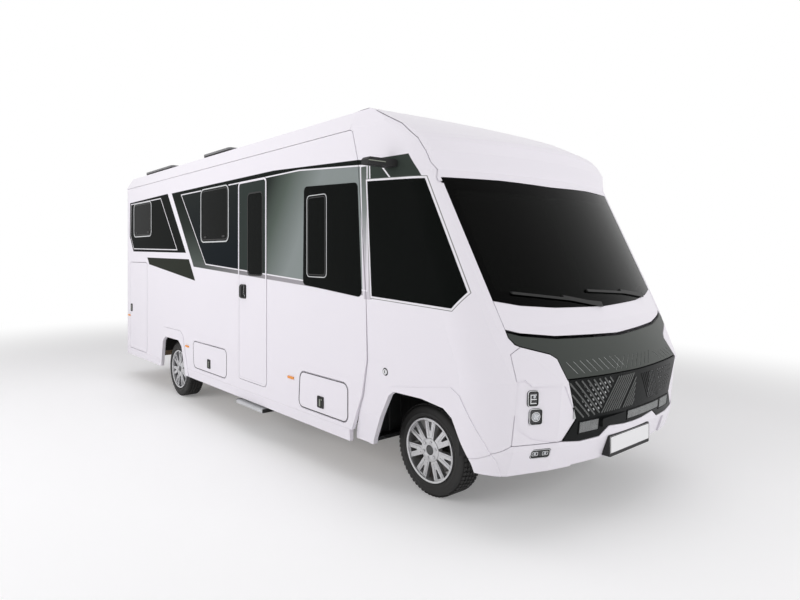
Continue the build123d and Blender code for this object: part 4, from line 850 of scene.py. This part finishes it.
# rows of tread blocks: distance outwards, width, length along the tread, skew, share of a pitch it starts at
BLOCK_ROWS = ((0.0, 0.020, 0.026, 0.20, 0.0), (0.035, 0.022, 0.025, 0.35, 0.3),
              (-0.035, 0.022, 0.025, 0.35, 0.7), (0.070, 0.022, 0.024, 0.15, 0.5),
              (-0.070, 0.022, 0.024, 0.15, 0.1))
rubber = finish("rubber", (0.014, 0.014, 0.014), (0.024, 0.023, 0.022), gloss=(0.62, 0.8), size=6.0,
                grain=240.0, relief=0.3)
wheel_alloy = finish("wheel_alloy", (0.56, 0.56, 0.57), (0.66, 0.66, 0.67), gloss=(0.24, 0.34), grain=260.0,
                     Metallic=0.85)
cast_iron = finish("cast_iron", (0.06, 0.055, 0.05), (0.12, 0.11, 0.105), gloss=(0.55, 0.75), size=9.0,
                   grain=120.0, relief=0.5, Metallic=0.8)
cap_grey = finish("hub_cap", (0.045, 0.046, 0.047), (0.070, 0.071, 0.072), gloss=(0.25, 0.35))
disc_iron = finish("brake_disc", (0.20, 0.19, 0.18), (0.30, 0.29, 0.28), gloss=(0.3, 0.45), size=12.0,
                   grain=300.0, relief=0.2, Metallic=0.9)


def turned(section, steps, closed=False):
    """Spins a section, given as distance from the axis and height, round the Z axis."""
    part = bmesh.new()
    line = [part.verts.new((radius, 0.0, high)) for radius, high in section]
    ends = line[1:] + line[:1] if closed else line[1:]
    edges = [part.edges.new(pair) for pair in zip(line, ends)]
    bmesh.ops.spin(part, geom=line + edges, cent=(0.0, 0.0, 0.0), axis=(0.0, 0.0, 1.0), angle=math.tau,
                   steps=steps, use_merge=True)
    bmesh.ops.remove_doubles(part, verts=part.verts, dist=0.00001)
    return part


def welded(obj):
    """Joins a node's doubled points, so that a bevel can run along its edges."""
    weld = obj.modifiers.new("weld", "WELD")
    weld.merge_threshold = 0.00005
    return obj


for place, x, y, side in WHEELS:
    wheel, rim = "wheel_" + place, "rim_" + place
    hub = stand((x, y, HUB_Z), (0.0, side, 0.0))
    bm = bmesh.new()
    join(bm, turned(TYRE_SECTION, 96, closed=True), hub)
    tyre = new_piece("tyre_dressed_" + place, bm, rubber, wheel, smooth=True)
    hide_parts("tyre_" + place)
    bm = bmesh.new()
    for out_way, wide, long, skew, start_at in BLOCK_ROWS:
        for n in range(BLOCKS):
            turn = Matrix.Rotation((n + start_at) * BLOCK_TURN, 4, "Z")
            turn = turn @ Matrix.Translation((0.3182, 0.0, out_way))
            turn = turn @ Matrix.Rotation(math.pi / 2, 4, "Y") @ Matrix.Rotation(skew, 4, "Z")
            join(bm, plate(wide, long, 0.002, 0.006), hub @ turn)
    for vert in bm.verts:
        off = Vector((vert.co.x - x, 0.0, vert.co.z - HUB_Z))
        if off.length > TREAD_REACH:
            off *= TREAD_REACH / off.length
            vert.co.x, vert.co.z = x + off.x, HUB_Z + off.z
    new_piece("tread_blocks_" + place, bm, rubber, wheel)
    # bright lip, dished hub with six bolts, and the cap
    bm = bmesh.new()
    join(bm, turned(LIP, 72), hub)
    join(bm, turned(HUB, 48), hub)
    for n in range(BOLTS):
        spot = hub @ Matrix.Rotation(n * math.tau / BOLTS + 0.3, 4, "Z")
        join(bm, disc(0.0105, 0.005, 0.0085, segments=6), spot, (0.0585, 0.0, 0.0895))
        join(bm, turned(BOLT_RING, 16), spot, (0.0585, 0.0, 0.0893))
    for n in range(2 * SPOKES):
        leg = 1 if n % 2 else -1
        spot = hub @ Matrix.Rotation((n // 2) * math.tau / SPOKES + math.pi / 2, 4, "Z")
        spot = spot @ Matrix.Translation((0.148, leg * 0.0255, 0.0825)) @ Matrix.Rotation(leg * 0.19, 4, "Z")
        join(bm, plate(0.104, 0.014, 0.006, 0.0045), spot)
    lip = new_piece("rim_trim_" + place, bm, wheel_alloy, wheel, smooth=True)
    bm = bmesh.new()
    join(bm, dome(0.0335, 0.008, segments=32), hub, (0.0, 0.0, 0.0850))
    join(bm, turned(CAP_RING, 32), hub)
    new_piece("hub_cap_" + place, bm, cap_grey, wheel, smooth=True)
    dress(wheel_alloy, rim)
    soften(welded(NODES[rim]), 0.0035)
    bm = bmesh.new()
    join(bm, turned(BRAKE, 48), hub, (0.0, 0.0, -0.020))
    soften(new_piece("brake_disc_" + place, bm, disc_iron, wheel), 0.001)
    carrier = "knuckle_" + place.split("_")[1] if place.startswith("front") else "coach"
    bm = bmesh.new()
    for n in range(5):
        spot = hub @ Matrix.Rotation(math.pi - 0.36 + 0.18 * n, 4, "Z")
        join(bm, plate(0.060, 0.042, 0.006, 0.058), spot, (0.155, 0.0, -0.044))
    soften(new_piece("caliper_" + place, bm, cast_iron, carrier), 0.003)

# ---- splash panels ----
# Black moulded panels close the wheel arches behind and above each front tyre.
# They are ribbed, end in a bracket at the sill, and are held by screws.
bm = bmesh.new()
for side in (-1, 1):
    join(bm, plate(0.430, 0.430, 0.030, 0.006), stand((1.931, side * 0.870, 0.550), (1, 0, 0)))
    for out_way, wide, proud in ((0.985, 0.052, 0.020), (0.860, 0.030, 0.012), (0.740, 0.030, 0.012),
                                 (1.066, 0.020, 0.024)):
        join(bm, plate(wide, 0.400, 0.008, proud), stand((1.936, side * out_way, 0.552), (1, 0, 0)))
    join(bm, plate(0.360, 0.030, 0.006, 0.060), stand((1.935, side * 0.880, 0.352), (1, 0, 0)))
    for out_way in (0.760, 0.860, 0.960, 1.040):
        join(bm, disc(0.011, 0.006, 0.009, segments=8), stand((1.995, side * out_way, 0.352), (1, 0, 0)))
splash_black = finish("splash_panel", (0.012, 0.013, 0.013), (0.020, 0.021, 0.021), gloss=(0.28, 0.4),
                      grain=90.0, relief=0.1)
soften(new_piece("splash_panels", bm, splash_black, "coach"), 0.003)

# ---- entry step ----
# The step is a ribbed aluminium tread with black end caps. It slides out on two
# runners under the sill, and its front edge always shows.
step_alloy = finish("step_alloy", (0.52, 0.53, 0.54), (0.64, 0.65, 0.66), gloss=(0.3, 0.5), size=14.0,
                    grain=180.0, Metallic=0.9)
dress(step_alloy, "entry_step")
bm, caps = bmesh.new(), bmesh.new()
for n in range(13):
    join(bm, plate(0.470, 0.005, 0.0015, 0.0022), (0.300, -1.178 + 0.0165 * n, 0.298))
new_piece("step_ribs", bm, step_alloy, "entry_step")
for x in (0.046, 0.554):
    join(caps, plate(0.014, 0.222, 0.004, 0.034), (x, -1.075, 0.266))
soften(new_piece("step_caps", caps, black_plastic, "entry_step"), 0.002)
frame_steel = finish("frame_steel", (0.020, 0.020, 0.022), (0.034, 0.034, 0.036), gloss=(0.45, 0.65),
                     grain=90.0)
bm = bmesh.new()
for x in (0.110, 0.490):
    join(bm, plate(0.050, 0.500, 0.006, 0.040), (x, -0.850, 0.306))
    join(bm, plate(0.036, 0.120, 0.006, 0.100), (x, -0.720, 0.342))
soften(new_piece("step_runners", bm, frame_steel, "coach"), 0.003)

# ---- frame and running gear ----
# A black-painted steel ladder frame carries the body. The front arms, the rear
# axle tube and the iron engine hang from it; two plastic tanks lie between.
dress(frame_steel, "chassis_frame front_suspension rear_axle seat_bases")
dress(cast_iron, "engine_block knuckle_right knuckle_left")
bm = bmesh.new()
for n in range(9):
    join(bm, plate(0.016, 0.560, 0.004, 0.006), (2.700 + 0.040 * n, 0.0, 0.882))
for n in range(4):
    join(bm, disc(0.050, 0.030, 0.046), stand((2.740 + 0.080 * n, -0.330, 0.700), (0, -1, 0)))
join(bm, disc(0.110, 0.040, 0.104), stand((3.080, 0.0, 0.640), (1, 0, 0)))
soften(new_piece("engine_ribs", bm, cast_iron, "coach"), 0.003)
bm = bmesh.new()
for x0, x1 in ((0.370, 1.130), (-0.690, -0.070)):
    for n in range(5):
        join(bm, plate(0.030, 0.640, 0.008, 0.006), (x0 + (x1 - x0) * (n + 0.5) / 5, 0.0, 0.2265))
new_piece("tank_ribs", bm, black_plastic, "coach")

# ---- roof hatches ----
# Two hatches with low acrylic lids stand on the roof. Each lid closes on a rubber
# seal round its frame and has a pressed field with drip edges.
grey_plastic = finish("hatch_plastic", (0.12, 0.12, 0.125), (0.16, 0.16, 0.165), gloss=(0.3, 0.42), grain=300.0)
dress(grey_plastic, "hatch_frames hatch_lid_rear hatch_lid_front")
for lid, x0, x1, y0, y1 in (("hatch_lid_rear", -3.060, -2.100, -1.000, -0.345),
                            ("hatch_lid_front", -1.150, -0.480, -1.000, -0.480)):
    middle = ((x0 + x1) / 2, (y0 + y1) / 2)
    bm = bmesh.new()
    join(bm, plate(x1 - x0 - 0.002, y1 - y0 - 0.002, 0.040, 0.010, band=0.014), (*middle, 2.8405))
    new_piece(lid + "_seal", bm, rubber, lid)
    bm = bmesh.new()
    join(bm, plate(x1 - x0 - 0.012, y1 - y0 - 0.012, 0.034, 0.0012, band=0.030), (*middle, 2.8707))
    new_piece(lid + "_edge", bm, black_plastic, lid)

# ---- cab inside ----
# The dashboard is a grained black moulding over the engine. It carries a hooded
# instrument panel, a screen and air vents; the steering wheel is leather-bound.
dash_plastic = finish("dash_plastic", (0.020, 0.020, 0.021), (0.032, 0.032, 0.033), gloss=(0.5, 0.7),
                      grain=500.0, relief=0.3)
dress(dash_plastic, "dashboard steering_wheel")
soften(welded(NODES["steering_wheel"]), 0.006, 3)
soften(welded(NODES["dashboard"]), 0.004, 3)
bm = bmesh.new()
join(bm, plate(0.360, 0.120, 0.040, 0.160), stand((2.520, 0.480, 1.372), (-1, 0, 0)))
join(bm, plate(0.240, 0.150, 0.016, 0.030), stand((2.530, 0.0, 1.300), (-1, 0, 0.25)))
for y in (-0.820, -0.420, 0.820):
    for n in range(4):
        join(bm, plate(0.120, 0.008, 0.002, 0.020), stand((2.500, y, 1.225 + 0.016 * n), (-1, 0, 0.3)))
soften(new_piece("dash_fittings", bm, dash_plastic, "coach"), 0.004)
bm = bmesh.new()
join(bm, plate(0.220, 0.130, 0.010, 0.002), stand((2.4990, 0.0, 1.3070), (-1, 0, 0.25)))
new_piece("dash_screen", bm, gloss_black, "coach")

# ---- cab seats ----
# Two captain's chairs with foam pads under dark woven cloth stand on steel boxes.
# Each pad was cut, sewn and filled, so it bulges between its seams.
SEAT_VOXEL, BED_VOXEL, PAD_SWELL, PRESSURE, FRAMES = 0.012, 0.026, 0.016, 4.0, 20
SEAM_REACH, SEAM_DEPTH = 1.4, 0.5      # in voxels
# middle, size, lean about Y and seams (axis, place) of the right seat's pads
SEAT_PADS = (((1.690, -0.500, 0.862), (0.420, 0.440, 0.085), 0.02, ((1, -0.125), (1, 0.125), (0, 0.05))),
             ((1.412, -0.500, 1.150), (0.085, 0.430, 0.440), -0.10, ((1, -0.120), (1, 0.120), (2, 0.06))),
             ((1.376, -0.500, 1.480), (0.070, 0.250, 0.110), -0.10, ()))
seat_cloth = finish("seat_cloth", (0.055, 0.055, 0.055), (0.085, 0.083, 0.080), gloss=(0.75, 0.95), grain=700.0,
                    relief=0.5, Sheen_Weight=0.3)


def stuffed(size, corner, voxel, seams):
    """A sewn and filled block: an even skin first, then blown up as cloth, then drawn in along its seams."""
    part = bmesh.new()
    bmesh.ops.create_cube(part, size=1.0)
    bmesh.ops.scale(part, vec=size, verts=part.verts)
    bmesh.ops.bevel(part, geom=part.edges[:], offset=corner, segments=3, profile=0.5, affect="EDGES",
                    material=-1)
    mesh = bpy.data.meshes.new("pad")
    part.to_mesh(mesh)
    part.free()
    pad = bpy.data.objects.new("pad", mesh)
    bpy.context.collection.objects.link(pad)
    skin = pad.modifiers.new("skin", "REMESH")
    skin.mode, skin.voxel_size = "VOXEL", voxel
    graph = bpy.context.evaluated_depsgraph_get()
    even = bpy.data.meshes.new_from_object(pad.evaluated_get(graph))
    pad.modifiers.clear()
    pad.data = even
    cut = [vert.co.copy() for vert in even.vertices]
    cloth = pad.modifiers.new("cloth", "CLOTH")
    cloth.settings.quality = 4
    cloth.settings.use_pressure = True
    cloth.settings.uniform_pressure_force = PRESSURE
    cloth.settings.effector_weights.gravity = 0.0
    for number in range(1, FRAMES + 1):
        bpy.context.scene.frame_set(number)
    graph = bpy.context.evaluated_depsgraph_get()
    blown = bpy.data.meshes.new_from_object(pad.evaluated_get(graph))
    for vert, start_at in zip(blown.vertices, cut):
        moved = vert.co - start_at
        if moved.length > PAD_SWELL:
            vert.co = start_at + moved * (PAD_SWELL / moved.length)
    pad.modifiers.clear()
    pad.data = blown
    bpy.context.scene.frame_set(1)
    bm = bmesh.new()
    bm.from_mesh(pad.data)
    bpy.data.objects.remove(pad)
    bmesh.ops.recalc_face_normals(bm, faces=bm.faces)
    bm.normal_update()
    for axis, at in seams:
        for vert in bm.verts:
            near = 1.0 - abs(vert.co[axis] - at) / (SEAM_REACH * voxel)
            if near > 0.0:
                vert.co -= vert.normal * (SEAM_DEPTH * voxel * near)
    return bm


def rounded(obj):
    """Smooths a padded piece's skin."""
    round_off = obj.modifiers.new("round_off", "SUBSURF")
    round_off.levels = round_off.render_levels = 1
    return obj


seat_bm = bmesh.new()
for middle, size, lean, seams in SEAT_PADS:
    pad = stuffed(size, 0.024, SEAT_VOXEL, seams)
    join(seat_bm, pad, Matrix.Translation(middle) @ Matrix.Rotation(lean, 4, "Y"))
seat_mesh = bpy.data.meshes.new("seat")
seat_bm.to_mesh(seat_mesh)
seat_bm.free()
for name, shift in (("seat_right", 0.0), ("seat_left", 1.0)):
    bm = bmesh.new()
    bm.from_mesh(seat_mesh)
    bmesh.ops.translate(bm, vec=(0.0, shift, 0.0), verts=bm.verts)
    seat = rounded(new_piece(name, bm, seat_cloth, "coach", smooth=True))
    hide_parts("cab_seats")
dress(seat_cloth, "cab_seats")
bm = bmesh.new()
for y in (-0.5, 0.5):
    join(bm, plate(0.300, 0.300, 0.020, 0.040), (1.650, y, 0.771))
    join(bm, plate(0.060, 0.440, 0.008, 0.030), (1.430, y, 0.812))
    for out_way in (-0.245, 0.245):
        join(bm, plate(0.330, 0.040, 0.012, 0.020), stand((1.660, y + out_way, 0.835), (0, out_way, 0)))
soften(new_piece("seat_frames", bm, dash_plastic, "coach"), 0.004)

# ---- floor and bed ----
# The plywood floor has a wood-grain covering. Over the garage lies a fixed cross
# bed: a foam mattress in pale ticking on a veneered platform.
floor_wood = finish("floor_wood", (0.16, 0.11, 0.07), (0.26, 0.19, 0.13), gloss=(0.4, 0.55), size=5.0)
furniture = finish("furniture", (0.24, 0.18, 0.12), (0.34, 0.27, 0.19), gloss=(0.35, 0.5), size=3.0)
bed_cloth = finish("bed_cloth", (0.42, 0.40, 0.37), (0.50, 0.48, 0.45), gloss=(0.8, 0.95), grain=600.0,
                   relief=0.4, Sheen_Weight=0.3)
dress(floor_wood, "floor_panel")
dress(furniture, "bed_platform")
dress(bed_cloth, "mattress")
low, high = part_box("mattress")
seams = [(1, -0.9 + 0.3 * n) for n in range(7)]
pad = stuffed((high - low) - Vector((0.05, 0.05, 0.035)), 0.030, BED_VOXEL, seams)
bm = bmesh.new()
join(bm, pad, (low + high) / 2)
mattress = rounded(new_piece("mattress_dressed", bm, bed_cloth, "coach", smooth=True))
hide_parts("mattress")
bm = bmesh.new()
for n in range(8):
    join(bm, plate(0.006, 2.180, 0.002, 0.002), (-3.20 + 0.24 * n, 0.0, 1.638))
for y in (-0.70, 0.0, 0.70):
    join(bm, plate(0.030, 1.120, 0.004, 0.020), stand((-2.5035, y, 1.070), (1, 0, 0)))
new_piece("bed_battens", bm, furniture, "coach")
